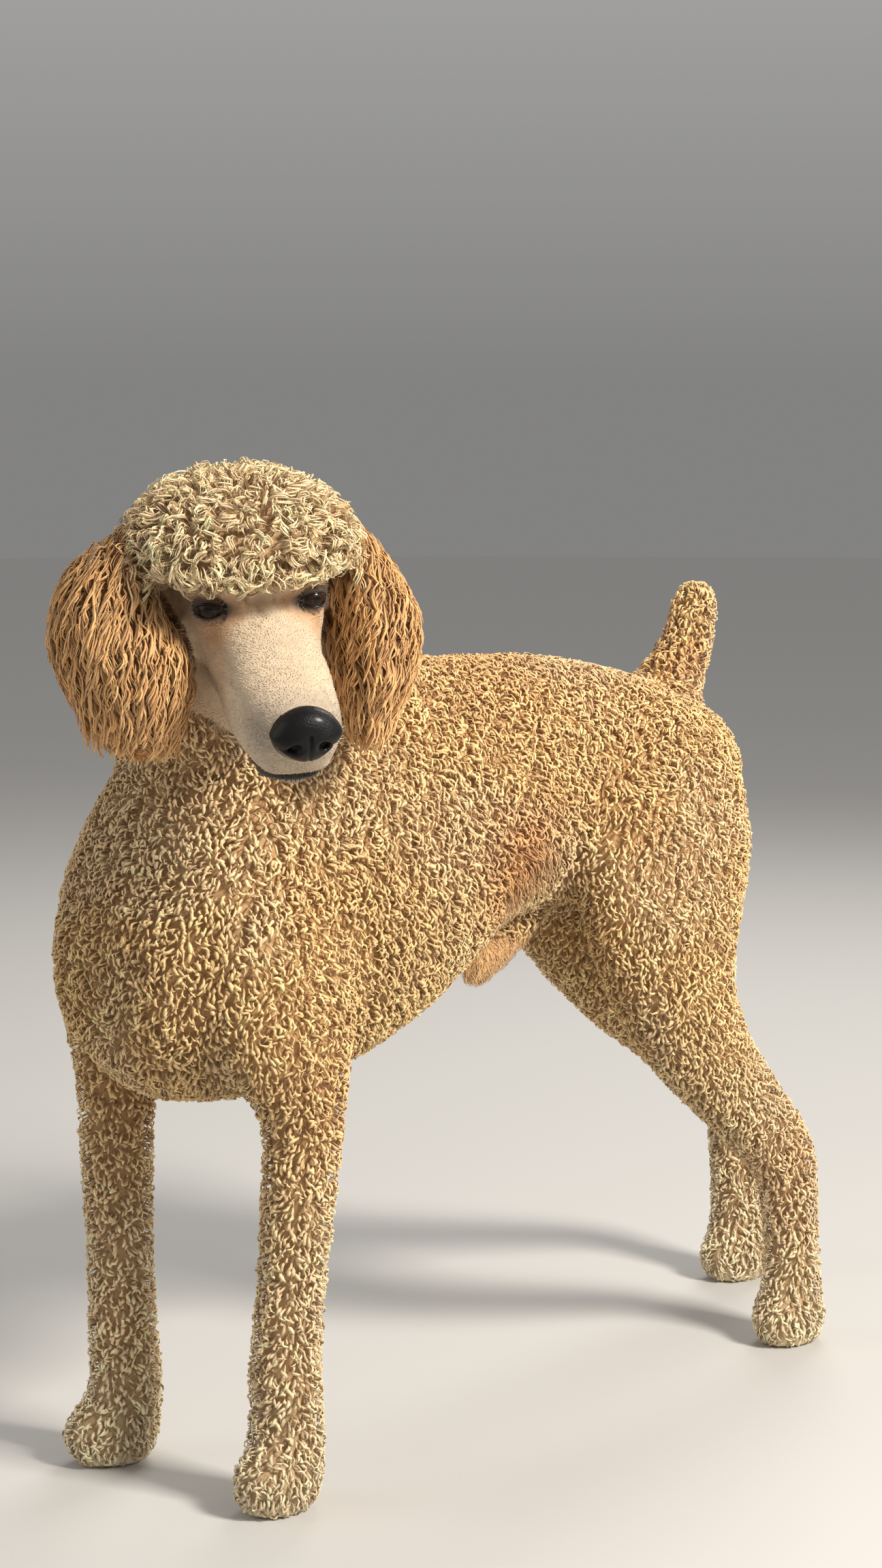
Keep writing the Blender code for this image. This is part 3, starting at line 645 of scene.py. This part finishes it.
def skinFinish():
    made, nodes, links, shader = newMaterial("skinAndShortCoat", 0.75, Sheen_Weight=0.15, Sheen_Roughness=0.5)
    fine = noiseNode(nodes, links, 900, 2)
    broad = noiseNode(nodes, links, 160, 3)
    colour = shade(nodes, links, toneNode(nodes).outputs["Color"], broad.outputs["Fac"], 0.88, 1.08)
    links.new(colour, shader.inputs["Base Color"])
    # a fine nap where it is clipped, and rough wool between the locks
    wool = noiseNode(nodes, links, 260, 3)
    height = nodes.new("ShaderNodeMix")
    height.data_type = "RGBA"
    links.new(toneNode(nodes, "woolShare").outputs["Color"], height.inputs["Factor"])
    finer = shade(nodes, links, fine.outputs["Color"], fine.outputs["Fac"], 0.1, 0.3)
    links.new(finer, height.inputs["A"])
    links.new(wool.outputs["Color"], height.inputs["B"])
    addBump(nodes, links, shader, height.outputs["Result"], 0.8, 0.0030)
    return made


def coatFinish(name, roughness, strands):  # strands run along each lock, on its own map
    made, nodes, links, shader = newMaterial(name, roughness, Sheen_Weight=0.25, Sheen_Roughness=0.45)
    shader.inputs["Sheen Tint"].default_value = (1, 0.90, 0.74, 1)
    shader.inputs["Specular IOR Level"].default_value = 0.30
    uv = nodes.new("ShaderNodeUVMap")
    uv.uv_map = "lock"
    mapping = addNode(nodes, "ShaderNodeMapping", Scale=(strands, 1.4, 1))
    links.new(uv.outputs["UV"], mapping.inputs["Vector"])
    noise = addNode(nodes, "ShaderNodeTexNoise", Scale=1.0, Detail=2)
    links.new(mapping.outputs["Vector"], noise.inputs["Vector"])
    colour = shade(nodes, links, toneNode(nodes).outputs["Color"], noise.outputs["Fac"], 0.66, 1.14)
    links.new(colour, shader.inputs["Base Color"])
    addBump(nodes, links, shader, noise.outputs["Fac"], 0.5, 0.0003)
    return made


def shortFinish():
    made, nodes, links, shader = newMaterial("shortCoat", 0.75, Sheen_Weight=0.2, Sheen_Roughness=0.5)
    shader.inputs["Specular IOR Level"].default_value = 0.2
    links.new(toneNode(nodes).outputs["Color"], shader.inputs["Base Color"])
    return made


skin.data.materials.clear()
skin.data.materials.append(skinFinish())
curlCoat = coatFinish("curlyCoat", 0.75, 9)
earCoat = coatFinish("earHair", 0.65, 8)
shortCoat = shortFinish()
print("finishes made")


# Coat: every lock is a thin closed solid that starts on the skin and ends at the outline
skin.data.calc_loop_triangles()
triangles = readAll(skin.data.loop_triangles, "vertices", 3, np.int32)
loops = readAll(skin.data.loop_triangles, "loops", 3, np.int32)
triangleMap = readAll(skin.data.uv_layers["OFBake"].uv, "vector", 2)[loops]
corners = outline[triangles]
areas = 0.5 * np.linalg.norm(np.cross(corners[:, 1] - corners[:, 0], corners[:, 2] - corners[:, 0]), axis=1)
thinning = {"tries": 2.4, "apart": 0.80}  # roots tried for each one's room, and how near two may be


def scatter(share, spacing, seed):
    # roots about this far apart, where the share at each vertex, 0 to 1, lets them be
    rng = np.random.default_rng(seed)
    wanted = areas * share[triangles].mean(1) * thinning["tries"] / spacing ** 2
    total = int(wanted.sum())
    picked = np.sort(rng.choice(len(areas), total, p=wanted / wanted.sum()))
    a, b = rng.random(total), rng.random(total)
    fold = a + b > 1
    a[fold], b[fold] = 1 - a[fold], 1 - b[fold]
    bary = np.stack([1 - a - b, a, b], 1)
    places = (corners[picked] * bary[:, :, None]).sum(1)
    tree = treeOf(places)
    openSpots = np.ones(total, bool)
    kept = []
    for k in rng.permutation(total):
        if openSpots[k]:
            kept.append(k)
            for _, other, _ in tree.find_range(places[k], thinning["apart"] * spacing):
                openSpots[other] = False
    kept = np.array(sorted(kept))
    return picked[kept], bary[kept]


def at(spots, values):  # a value of the skin's vertices at the roots
    picked, bary = spots
    values = np.asarray(values)
    if values.ndim == 1:
        return (values[triangles[picked]] * bary).sum(1)
    return (values[triangles[picked]] * bary[:, :, None]).sum(1)


def rootMap(spots):
    picked, bary = spots
    return (triangleMap[picked] * bary[:, :, None]).sum(1)


def turned(vectors, axes, angles):
    c, s = np.cos(angles)[:, None], np.sin(angles)[:, None]
    return vectors * c + np.cross(axes, vectors) * s + axes * (vectors * axes).sum(1, keepdims=True) * (1 - c)


def curlPaths(root, up, lie, rise, length, radius, turns, phase, lift, dip, steps):
    # up off the skin, then over along the lie, winding to and fro; the tip dips back by this share
    s = np.linspace(0, 1, steps)[None, :, None]
    side = unit(np.cross(up, lie))
    climb = np.sin(np.clip(s / 0.6, 0, 1) * math.pi / 2) - dip * np.clip((s - 0.6) / 0.4, 0, 1) ** 2
    path = (root[:, None] + up[:, None] * (rise[:, None, None] * climb)
            + lie[:, None] * (length[:, None, None] * s ** 1.4))
    ramp = np.clip(s / 0.5, 0, 1) ** 1.2 * radius[:, None, None]
    angle = phase[:, None, None] + 2 * math.pi * turns[:, None, None] * s
    roundWay = unit(lie * (1 - lift) + up * lift)
    return path + ramp * (np.cos(angle) * side[:, None] + np.sin(angle) * roundWay[:, None])


lockShape = {"rootWidth": 0.35, "widest": 0.8, "tipFrom": 0.45, "tipThin": 0.75, "lowest": 0.0002,
             "rootShadeTint": (0.0, 0.14, 0.30), "palest": 0.95, "patch": 0.003}


def lockMesh(name, path, up, width, thickness, tone, places, tipGlow, rootShade):
    n, steps, _ = path.shape
    ways = unit(np.gradient(path, axis=1))
    side = unit(np.cross(up, ways[:, -2]) + 1e-6)
    sides = []
    for k in range(steps):
        side = unit(side - ways[:, k] * (side * ways[:, k]).sum(1, keepdims=True))
        sides.append(side)
    sides = np.stack(sides, 1)
    ups = np.cross(ways, sides)
    s = np.linspace(0, 1, steps)
    thin, tipFrom = lockShape["rootWidth"], lockShape["tipFrom"]
    taper = thin + (1 - thin) * np.sin(np.clip(s / lockShape["widest"], 0, 1) * math.pi / 2)
    taper = taper * (1 - lockShape["tipThin"] * np.clip((s - tipFrom) / (1 - tipFrom), 0, 1) ** 1.6)
    rings = steps - 1
    taper = taper[None, :rings, None, None]
    angles = np.radians([90, 210, 330])[None, None, :, None]  # a ridge on top, flat below
    across = np.cos(angles) * width[:, None, None, None] * taper
    above = np.sin(angles) * thickness[:, None, None, None] * taper
    ring = path[:, :rings, None] + sides[:, :rings, None] * across + ups[:, :rings, None] * above
    each = rings * 3 + 1
    points = np.concatenate([ring.reshape(n, -1, 3), path[:, -1:]], 1).reshape(-1, 3)
    points[:, 2] = np.maximum(points[:, 2], lockShape["lowest"])
    quads, tips, quadsUnder, tipsUnder = [], [], [], []
    for k in range(rings - 1):
        for j in range(3):
            i = (j + 1) % 3
            quads.append((k * 3 + j, k * 3 + i, k * 3 + 3 + i, k * 3 + 3 + j))
            quadsUnder.append(j == 1)
    last = (rings - 1) * 3
    for j in range(3):
        tips.append((last + j, last + (j + 1) % 3, each - 1))
        tipsUnder.append(j == 1)
    tips.append((2, 1, 0))
    tipsUnder.append(True)
    quads, tips = np.array(quads), np.array(tips)
    start = (np.arange(n) * each)[:, None, None]
    quadCorners = (quads[None] + start).reshape(-1)
    tipCorners = (tips[None] + start).reshape(-1)
    cornerVertex = np.concatenate([quadCorners, tipCorners])
    sizes = np.concatenate([np.full(n * len(quads), 4), np.full(n * len(tips), 3)])
    under = np.concatenate([np.tile(quadsUnder, n), np.tile(tipsUnder, n)])
    mesh = bpy.data.meshes.new(name)
    mesh.vertices.add(len(points))
    mesh.vertices.foreach_set("co", points.astype(np.float32).ravel())
    mesh.loops.add(len(cornerVertex))
    mesh.loops.foreach_set("vertex_index", cornerVertex.astype(np.int32))
    mesh.polygons.add(len(sizes))
    mesh.polygons.foreach_set("loop_start", np.concatenate([[0], np.cumsum(sizes)[:-1]]).astype(np.int32))
    mesh.update(calc_edges=True)
    # smooth over the back of the lock, with a crease where its underside begins
    mesh.attributes.new("sharp_face", "BOOLEAN", "FACE").data.foreach_set("value", under)
    # along one lock, 0 at the root and 1 at the tip, and around it; painted shade makes it darker and browner
    # towards the root, and it is lighter towards the tip
    alongOne = np.concatenate([np.repeat(s[:rings], 3), [1.0]])
    aroundOne = np.concatenate([np.tile([0.0, 0.33, 0.67], rings), [0.33]])
    light = rootShade + (1 - rootShade) * np.clip(alongOne / 0.6, 0, 1) ** 1.3
    light = light * (1 + (tipGlow - 1) * alongOne ** 2)
    shadeTint = (1 - alongOne)[:, None] * (1 - rootShade) * np.array(lockShape["rootShadeTint"])
    colours = (tone[:, None] * (light[:, None] * (1 - shadeTint))[None]).reshape(-1, 3)
    setTone(mesh, np.clip(colours, 0, lockShape["palest"]))
    local = np.stack([aroundOne - 0.5, alongOne - 0.5], 1)
    baked = (places[:, None] + lockShape["patch"] * local[None]).reshape(-1, 2)
    shifted = np.tile(alongOne, n) + np.repeat(np.arange(n) * 7.31 % 50, each)  # its own strands for each
    own = np.stack([np.tile(aroundOne, n), shifted], 1)
    for layerName, where in (("OFBake", baked), ("lock", own)):
        layer = mesh.uv_layers.new(name=layerName, do_init=False)
        layer.uv.foreach_set("vector", where[cornerVertex].astype(np.float32).ravel())
    piece = bpy.data.objects.new(name, mesh)
    bpy.context.collection.objects.link(piece)
    return piece


locks = {"rooted": 0.0012, "clumpSize": 0.014, "strandVary": 0.18, "strayRise": (0.001, 0.004),
         "narrow": 0.6, "narrowShare": 0.3, "toneDrift": 0.12, "toneSizes": (0.03, 0.012)}


def addCoat(name, finish, spots, style, seed):
    # each root has one or more strands; the spacing in a style is for scatter, the rest shapes the locks
    rng = np.random.default_rng(seed)
    clumps, strands = len(spots[0]), style["strands"]
    group = np.repeat(np.arange(clumps), strands)
    n = len(group)

    def drawn(low, high, vary):  # one value for a clump, nearly the same in its strands
        return rng.uniform(low, high, clumps)[group] * rng.uniform(1 - vary, 1 + vary, n)

    spots = spots[0][group], spots[1][group]
    root, tip = at(spots, inner), at(spots, outline)
    up = unit(at(spots, softNormals))
    lie = at(spots, lieWay)
    lie = unit(lie - up * (lie * up).sum(1, keepdims=True))
    swirl = drift(tip, style["swirlSize"], seed + 1) * style["swirl"]
    lie = turned(lie, up, swirl + rng.normal(size=clumps)[group] * style["wander"])
    lean = turned(lie, up, 3 * drift(tip, locks["clumpSize"], seed + 2))  # neighbours lean together
    lie = unit(lie + style["clump"] * lean)
    root = root + np.cross(up, lie) * rng.normal(0, 1, (n, 1)).clip(-2, 2) * style["gather"]
    vary = locks["strandVary"] if strands > 1 else 0
    rise = at(spots, depth) * drawn(*style["rise"], vary)
    rise = rise + (rng.random(n) < style.get("stray", 0)) * rng.uniform(*locks["strayRise"], n)
    length = drawn(*style["length"], vary)
    radius = drawn(*style["radius"], vary)
    turns = drawn(*style["turns"], vary / 2) * rng.choice([-1, 1], clumps)[group]
    phase = rng.uniform(0, 2 * math.pi, clumps)[group] + rng.normal(0, vary * 1.6, n)
    path = curlPaths(root - up * locks["rooted"], up, lie, rise + locks["rooted"], length, radius, turns,
                     phase, style["lift"], style["dip"], style["steps"])
    share = locks["narrowShare"]
    width = rng.uniform(*style["width"], n) / 2 * rng.choice([locks["narrow"], 1.0], n, p=[share, 1 - share])
    tone = at(spots, vertexTone) * rng.normal(1, style["varied"], (n, 1)).clip(0.7, 1.3)
    broad, fine = (drift(tip, size, seed + 3 + k) for k, size in enumerate(locks["toneSizes"]))
    tone = tone * (1 + locks["toneDrift"] * broad + locks["toneDrift"] * fine)[:, None]
    piece = lockMesh(name, path, up, width, width * style["thin"], tone, rootMap(spots), style["glow"],
                     style["rootShade"])
    piece.data.materials.append(finish)
    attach(piece, "root")
    print(name, n, "locks")


def splitCoat(name, finish, spots, style, seed, most):
    # no piece may be over the most locks, so long runs are parted by place
    n = len(spots[0])
    pieces = max(1, math.ceil(n / most))
    order = np.argsort(toBody(at(spots, outline))[:, 1])
    for k, part in enumerate(np.array_split(order, pieces)):
        label = name if pieces == 1 else f"{name}_{k + 1}"
        addCoat(label, finish, (spots[0][part], spots[1][part]), style, seed + 10 * k)


trunkCurls = {"spacing": 0.0038, "strands": 1, "gather": 0, "rise": (0.74, 1.02), "length": (0.0065, 0.0120),
              "radius": (0.0008, 0.0019), "turns": (0.5, 0.95), "lift": 0.25, "dip": 0.45, "steps": 5,
              "width": (0.0028, 0.0048), "thin": 0.38, "swirl": 0.40, "swirlSize": 0.045, "wander": 0.35,
              "clump": 0.7, "varied": 0.12, "rootShade": 0.58, "glow": 1.10}
legCurls = dict(trunkCurls, spacing=0.0041, radius=(0.0008, 0.0020), length=(0.0060, 0.0110))
tailCurls = dict(trunkCurls, length=(0.006, 0.011))
topknotCurls = dict(trunkCurls, spacing=0.0052, strands=4, gather=0.0013, rise=(0.80, 1.08),
                    length=(0.008, 0.018), radius=(0.0020, 0.0038), turns=(0.7, 1.4), lift=0.35, dip=0.20,
                    steps=8, width=(0.0014, 0.0030), thin=0.40, swirl=1.0, swirlSize=0.035, wander=0.5,
                    stray=0.03, glow=1.12, rootShade=0.50)
shortHair = dict(trunkCurls, spacing=0.0018, rise=(0.5, 0.9), length=(0.004, 0.0075), radius=(0, 0.0003),
                 turns=(0, 0.4), dip=0.8, steps=3, clump=0, width=(0.0005, 0.0011), thin=0.30, swirl=0.30,
                 swirlSize=0.02, wander=0.16, varied=0.12, rootShade=1.0, glow=1.05)
flankHair = dict(trunkCurls, spacing=0.0034, rise=(0.6, 0.95), length=(0.014, 0.026), swirl=0.25,
                 radius=(0.0003, 0.0010), turns=(0.3, 0.8), dip=0.25, steps=6, clump=0.35,
                 width=(0.0014, 0.0028), wander=0.14)
sheathHair = dict(flankHair, spacing=0.0026, length=(0.005, 0.010), rise=(0.5, 0.9), steps=4,
                  width=(0.0008, 0.0016), rootShade=0.85)

furry = (1 - clipped) * (depth > 0.0015)
soles = (outline[:, 2] < 0.004).astype(float)
fringe = {"middle": (0.300, 0.450), "half": (0.050, 0.042), "edge": 0.45, "inner": 0.03}
y, z = ((body[:, 1:] - fringe["middle"]) / fringe["half"]).T
flank = np.exp(-(y ** 2 + z ** 2)) * (np.abs(body[:, 0]) > fringe["inner"]) * (1 - onSheath)
flank = (flank > fringe["edge"]).astype(float)
trunkShare = (isNode["trunk"] + isNode["neck"]) * furry * (1 - onSheath) * (1 - flank)
face = clipped * (isNode["nose"] < 0.5) * (outline[:, 2] > 0.3)
# name, finish, slot, where it grows, style, seed, and the most roots in one piece
for name, finish, slot, share, style, seed, most in (
        ("coatTrunk", curlCoat, "coat", trunkShare, trunkCurls, 11, 8800),
        ("coatLegs", curlCoat, "coat", legs * furry * (1 - soles) * (1 - flank), legCurls, 21, 8800),
        ("coatFlank", curlCoat, "coat", flank * furry, flankHair, 81, 6900),
        ("coatSheath", shortCoat, "coat", onSheath, sheathHair, 91, 9000),
        ("coatTail", curlCoat, "coat", isNode["tail"] * furry, tailCurls, 31, 8800),
        ("coatTopknot", curlCoat, "coat", topknot * (headNodes > 0), topknotCurls, 41, 1050),
        ("coatFace", shortCoat, "clipped_face", face, shortHair, 51, 15000)):
    splitCoat(name, finish, scatter(share, style["spacing"], seed), style, seed + 1, most)


# Ears: long wavy locks that run down over the leaf and hang free at its edge
earLocks = {"spacing": 0.0058, "strands": 3, "gather": 0.0012, "length": (0.022, 0.044), "steps": 9,
            "wave": (0.0018, 0.0034), "waves": (0.8, 1.5), "width": (0.0011, 0.0032), "thin": 0.42,
            "seed": {"left": 61, "right": 71}, "swirl": 0.35, "wander": 0.16, "shortBelow": 0.575,
            "sag": 0.35, "glow": 1.15, "rootShade": 0.50}
outlineTree = treeOf(outline)


def hangingPaths(root, tip, up, length, steps, wayDown):
    # each path rises to the outline, then follows it, and falls straight where it turns under
    path = [root, root + (tip - root) * 0.75 + wayDown * 0.002]
    spot, way = tip.copy(), wayDown.copy()
    ups = [up, up]
    step = length / (steps - 2)
    for _ in range(steps - 2):
        spot = spot + way * step[:, None]
        near = np.array([outlineTree.find(p)[1] for p in spot])
        n = softNormals[near]
        off = ((spot - outline[near]) * n).sum(1)
        hold = ease(1 - np.abs(n[:, 2]), 0.25, 0.7)
        spot = spot - n * (off * hold * 0.9)[:, None]
        fresh = lieWay[near]
        way = unit(way * 0.5 + fresh * (0.5 * hold)[:, None] + np.array([0, 0, -earLocks["sag"]]))
        path.append(spot)
        ups.append(unit(ups[-1] * 0.4 + n * 0.6))
    return np.stack(path, 1), np.stack(ups, 1)


def makeEarCoat(side):
    share = isNode["ear_" + side] * furry
    spots = scatter(share, earLocks["spacing"], earLocks["seed"][side])
    rng = np.random.default_rng(62)
    clumps = len(spots[0])
    root, tip = at(spots, inner), at(spots, outline)
    up, lie = unit(at(spots, softNormals)), unit(at(spots, lieWay))
    swirl = earLocks["swirl"] * drift(tip, 0.04, 63)
    lie = turned(lie, up, swirl + rng.normal(size=clumps) * earLocks["wander"])
    tipRoom = np.clip((tip[:, 2] - earLocks["shortBelow"]) / 0.05, 0.25, 1)  # shorter at the ear's end
    length = rng.uniform(*earLocks["length"], clumps) * tipRoom
    path, ups = hangingPaths(root, tip - up * 0.002, up, length, earLocks["steps"], lie)
    group = np.repeat(np.arange(clumps), earLocks["strands"])
    n = len(group)
    path, ups, spots = path[group], ups[group], (spots[0][group], spots[1][group])
    s = np.linspace(0, 1, earLocks["steps"])[None, :, None]
    path = path[:, :1] + (path - path[:, :1]) * rng.uniform(0.80, 1.08, (n, 1, 1))
    sideWay = unit(np.cross(ups, unit(np.gradient(path, axis=1))))
    phase = rng.uniform(0, 2 * math.pi, (clumps, 1, 1))[group] + rng.normal(0, 0.35, (n, 1, 1))
    turns = rng.uniform(*earLocks["waves"], (clumps, 1, 1))[group]
    wave = rng.uniform(*earLocks["wave"], (clumps, 1, 1))[group] * (0.4 + 1.0 * s)
    angle = phase + 2 * math.pi * turns * s ** 1.15
    apart = rng.normal(0, earLocks["gather"], (n, 1, 1)) * (1 - 0.5 * s)
    path = path + (wave * np.cos(angle) + apart) * sideWay + 0.6 * wave * np.sin(angle) * ups
    width = rng.uniform(*earLocks["width"], n) / 2
    varied = rng.normal(1, 0.10, (clumps, 1))[group] * rng.normal(1, 0.07, (n, 1))
    tone = at(spots, vertexTone) * varied.clip(0.7, 1.35)
    piece = lockMesh("coatEar_" + side, path, up[group], width, width * earLocks["thin"], tone,
                     rootMap(spots), earLocks["glow"], earLocks["rootShade"])
    piece.data.materials.append(earCoat)
    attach(piece, "root")
    print("coatEar_" + side, n, "locks")


makeEarCoat("left")
makeEarCoat("right")


def smoothPiece(piece):
    activate(piece)
    bpy.ops.object.mode_set(mode="EDIT")
    bpy.ops.mesh.select_all(action="SELECT")
    bpy.ops.mesh.normals_make_consistent(inside=False)
    bpy.ops.object.mode_set(mode="OBJECT")
    bpy.ops.object.shade_smooth()


# Eyes: a clear wet ball over a dark brown iris, in a black rim
eyeBall = {"inset": 0.0002, "cornea": 0.0007, "pupil": (0.002, 0.002, 0.002), "iris": (0.022, 0.009, 0.004),
           "rings": [(35, (0.008, 0.005, 0.004)), (47, (0.09, 0.060, 0.045))],  # degrees from the middle out
           "pupilTo": 15}
eyeRim = {"around": 1.04, "stand": 0.0003, "thick": 0.0062, "lift": 0.0001}


def makeEye(side):
    centre, way, outward, upward = eyeFrame(side)
    bpy.ops.mesh.primitive_uv_sphere_add(segments=48, ring_count=32, location=(0, 0, 0),
                                         radius=eyeShape["radius"] - eyeBall["inset"])
    eye = bpy.context.object
    eye.name = "eyeball_" + side
    points = pointsOf(eye.data)
    bulge = eyeBall["cornea"] * ease(unit(points)[:, 2], 0.80, 0.97)  # the cornea stands a little proud
    points = points * (1 + bulge / eyeShape["radius"])[:, None]
    ring = np.degrees(np.arccos(np.clip(unit(points)[:, 2], -1, 1)))
    grain = 0.5 + 0.5 * np.sin(np.arctan2(points[:, 1], points[:, 0]) * 23 + 3 * np.sin(ring))
    iris = np.array(eyeBall["iris"]) * (0.7 + 0.5 * grain[:, None])
    colours = np.where((ring < eyeBall["pupilTo"])[:, None], np.array(eyeBall["pupil"]), iris)
    for start, tone in eyeBall["rings"]:
        colours = np.where((ring > start)[:, None], np.array(tone), colours)
    setTone(eye.data, colours, "eyeTone")
    basis = np.stack([outward, upward, way])
    setPoints(eye.data, centre + points @ basis)
    smoothPiece(eye)
    eye.data.materials.append(eyeFinish)
    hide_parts("eye_" + side)
    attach(eye, "root")


def makeRim(side):
    centre, way, outward, upward = eyeFrame(side)
    bpy.ops.mesh.primitive_torus_add(major_segments=72, minor_segments=12, major_radius=1.0, minor_radius=0.1,
                                     location=(0, 0, 0))
    rim = bpy.context.object
    rim.name = "eyeRim_" + side
    points = pointsOf(rim.data)
    angle = np.arctan2(points[:, 1], points[:, 0])
    c, s = np.cos(angle), np.sin(angle)
    reach = eyeRim["around"] / almond(c * 0.01, s * 0.01) * 0.01
    middle = np.stack([c * reach, s * reach], 1)
    flat = np.hypot(middle[:, 0], middle[:, 1])
    height = np.sqrt(np.maximum((eyeShape["radius"] + eyeRim["stand"]) ** 2 - flat ** 2, 0))
    outer = np.hypot(points[:, 0], points[:, 1]) - 1.0  # -0.1 to 0.1 across the tube
    thick = eyeRim["thick"] * (0.75 + 0.25 * np.abs(s))
    x = middle[:, 0] + c * outer * thick
    y = middle[:, 1] + s * outer * thick
    z = height + points[:, 2] * thick * 0.9 + eyeRim["lift"]
    basis = np.stack([outward, upward, way])
    setPoints(rim.data, centre + np.stack([x, y, z], 1) @ basis)
    smoothPiece(rim)
    rim.data.materials.append(rimFinish)
    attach(rim, "root")


def wetFinish(name, colour, roughness, toneName=None, bumpScale=0, bumpDepth=0):
    made, nodes, links, shader = newMaterial(name, roughness, Coat_Weight=0.30, Coat_Roughness=0.03)
    shader.inputs["Specular IOR Level"].default_value = 0.1
    shader.inputs["Base Color"].default_value = (*colour, 1)
    if toneName:
        links.new(toneNode(nodes, toneName).outputs["Color"], shader.inputs["Base Color"])
    if bumpScale:
        noise = noiseNode(nodes, links, bumpScale, 2)
        addBump(nodes, links, shader, noise.outputs["Fac"], 0.5, bumpDepth)
    return made


eyeFinish = wetFinish("eyeBrown", (0.03, 0.014, 0.008), 0.35, "eyeTone")
rimFinish = wetFinish("eyeRimBlack", (0.010, 0.007, 0.007), 0.50, None, 900, 0.0003)
for side in ("left", "right"):
    makeEye(side)
    makeRim(side)
print("eyes made")


# Nose leather with open nostrils
noseShape = {"centre": (0.1285, 0.001, -0.0383), "half": (0.0158, 0.0243, 0.0200),
             "nostril": (0.0102, -0.0045), "nostrilSize": (0.0044, 0.0042), "wing": 0.0016, "hole": 0.0070,
             "slit": 0.0030, "slitWidth": 0.0017, "slitEnd": (0.0195, 0.0235), "groove": 0.0014,
             "grooveWidth": 0.0011, "tone": (0.004, 0.0036, 0.0038), "cells": 1100, "bump": 0.0004}


def makeNose():
    bpy.ops.mesh.primitive_uv_sphere_add(segments=128, ring_count=96, radius=1, location=(0, 0, 0))
    nose = bpy.context.object
    nose.name = "noseLeather"
    p = pointsOf(nose.data)
    f, l, u = p[:, 2].copy(), p[:, 0].copy(), p[:, 1].copy()
    body = np.sign(f) * np.abs(f) ** 0.85
    l2 = l * (1 - 0.16 * np.clip(-u, 0, 1))
    u2 = u * (1 - 0.10 * l ** 2)
    hf, hl, hu = noseShape["half"]
    place = np.stack([body * hf, l2 * hl, u2 * hu], 1)
    nl, nu = noseShape["nostril"]
    sl, su = noseShape["nostrilSize"]
    front = ease(f, 0.0, 0.35)
    x, y = np.abs(place[:, 1]), place[:, 2]
    hole = np.exp(-(((x - nl) / sl) ** 2 + ((y - nu + 0.25 * (x - nl)) / su) ** 2) ** 1.4)
    slit = np.exp(-(((y - nu + 0.35 * (x - nl)) / noseShape["slitWidth"]) ** 2))
    slit = slit * ease(x, nl, nl + 0.004) * (1 - ease(x, *noseShape["slitEnd"]))
    wing = np.exp(-(((x - nl) / 0.0085) ** 2 + ((y - nu - 0.0045) / 0.0060) ** 2))
    middle = np.exp(-(x / noseShape["grooveWidth"]) ** 2) * (y < 0.006)
    cut = noseShape["hole"] * hole + noseShape["slit"] * slit * front + noseShape["groove"] * middle
    place[:, 0] += front * (noseShape["wing"] * wing - cut)
    place[:, 1] *= 1 + 0.06 * np.exp(-((y - 0.001) / 0.006) ** 2)
    setPoints(nose.data, fromHead(place + np.array(noseShape["centre"])))
    smoothPiece(nose)
    made, nodes, links, shader = newMaterial("noseLeather", 0.45, Coat_Weight=0.14, Coat_Roughness=0.18)
    shader.inputs["Base Color"].default_value = (*noseShape["tone"], 1)
    shader.inputs["Specular IOR Level"].default_value = 0.16
    place = nodes.new("ShaderNodeTexCoord")
    cells = addNode(nodes, "ShaderNodeTexVoronoi", Scale=noseShape["cells"])
    links.new(place.outputs["Object"], cells.inputs["Vector"])
    addBump(nodes, links, shader, cells.outputs["Distance"], 0.6, noseShape["bump"])
    nose.data.materials.append(made)
    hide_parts("nose")
    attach(nose, "root")


makeNose()
print("nose made")

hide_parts(*[name for name in nodeNames if name != "nose" and not name.startswith("eye_")])
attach(skin, "root")

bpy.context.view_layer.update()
total = sum(len(p.data.polygons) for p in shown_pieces())
print("faces in all:", total)
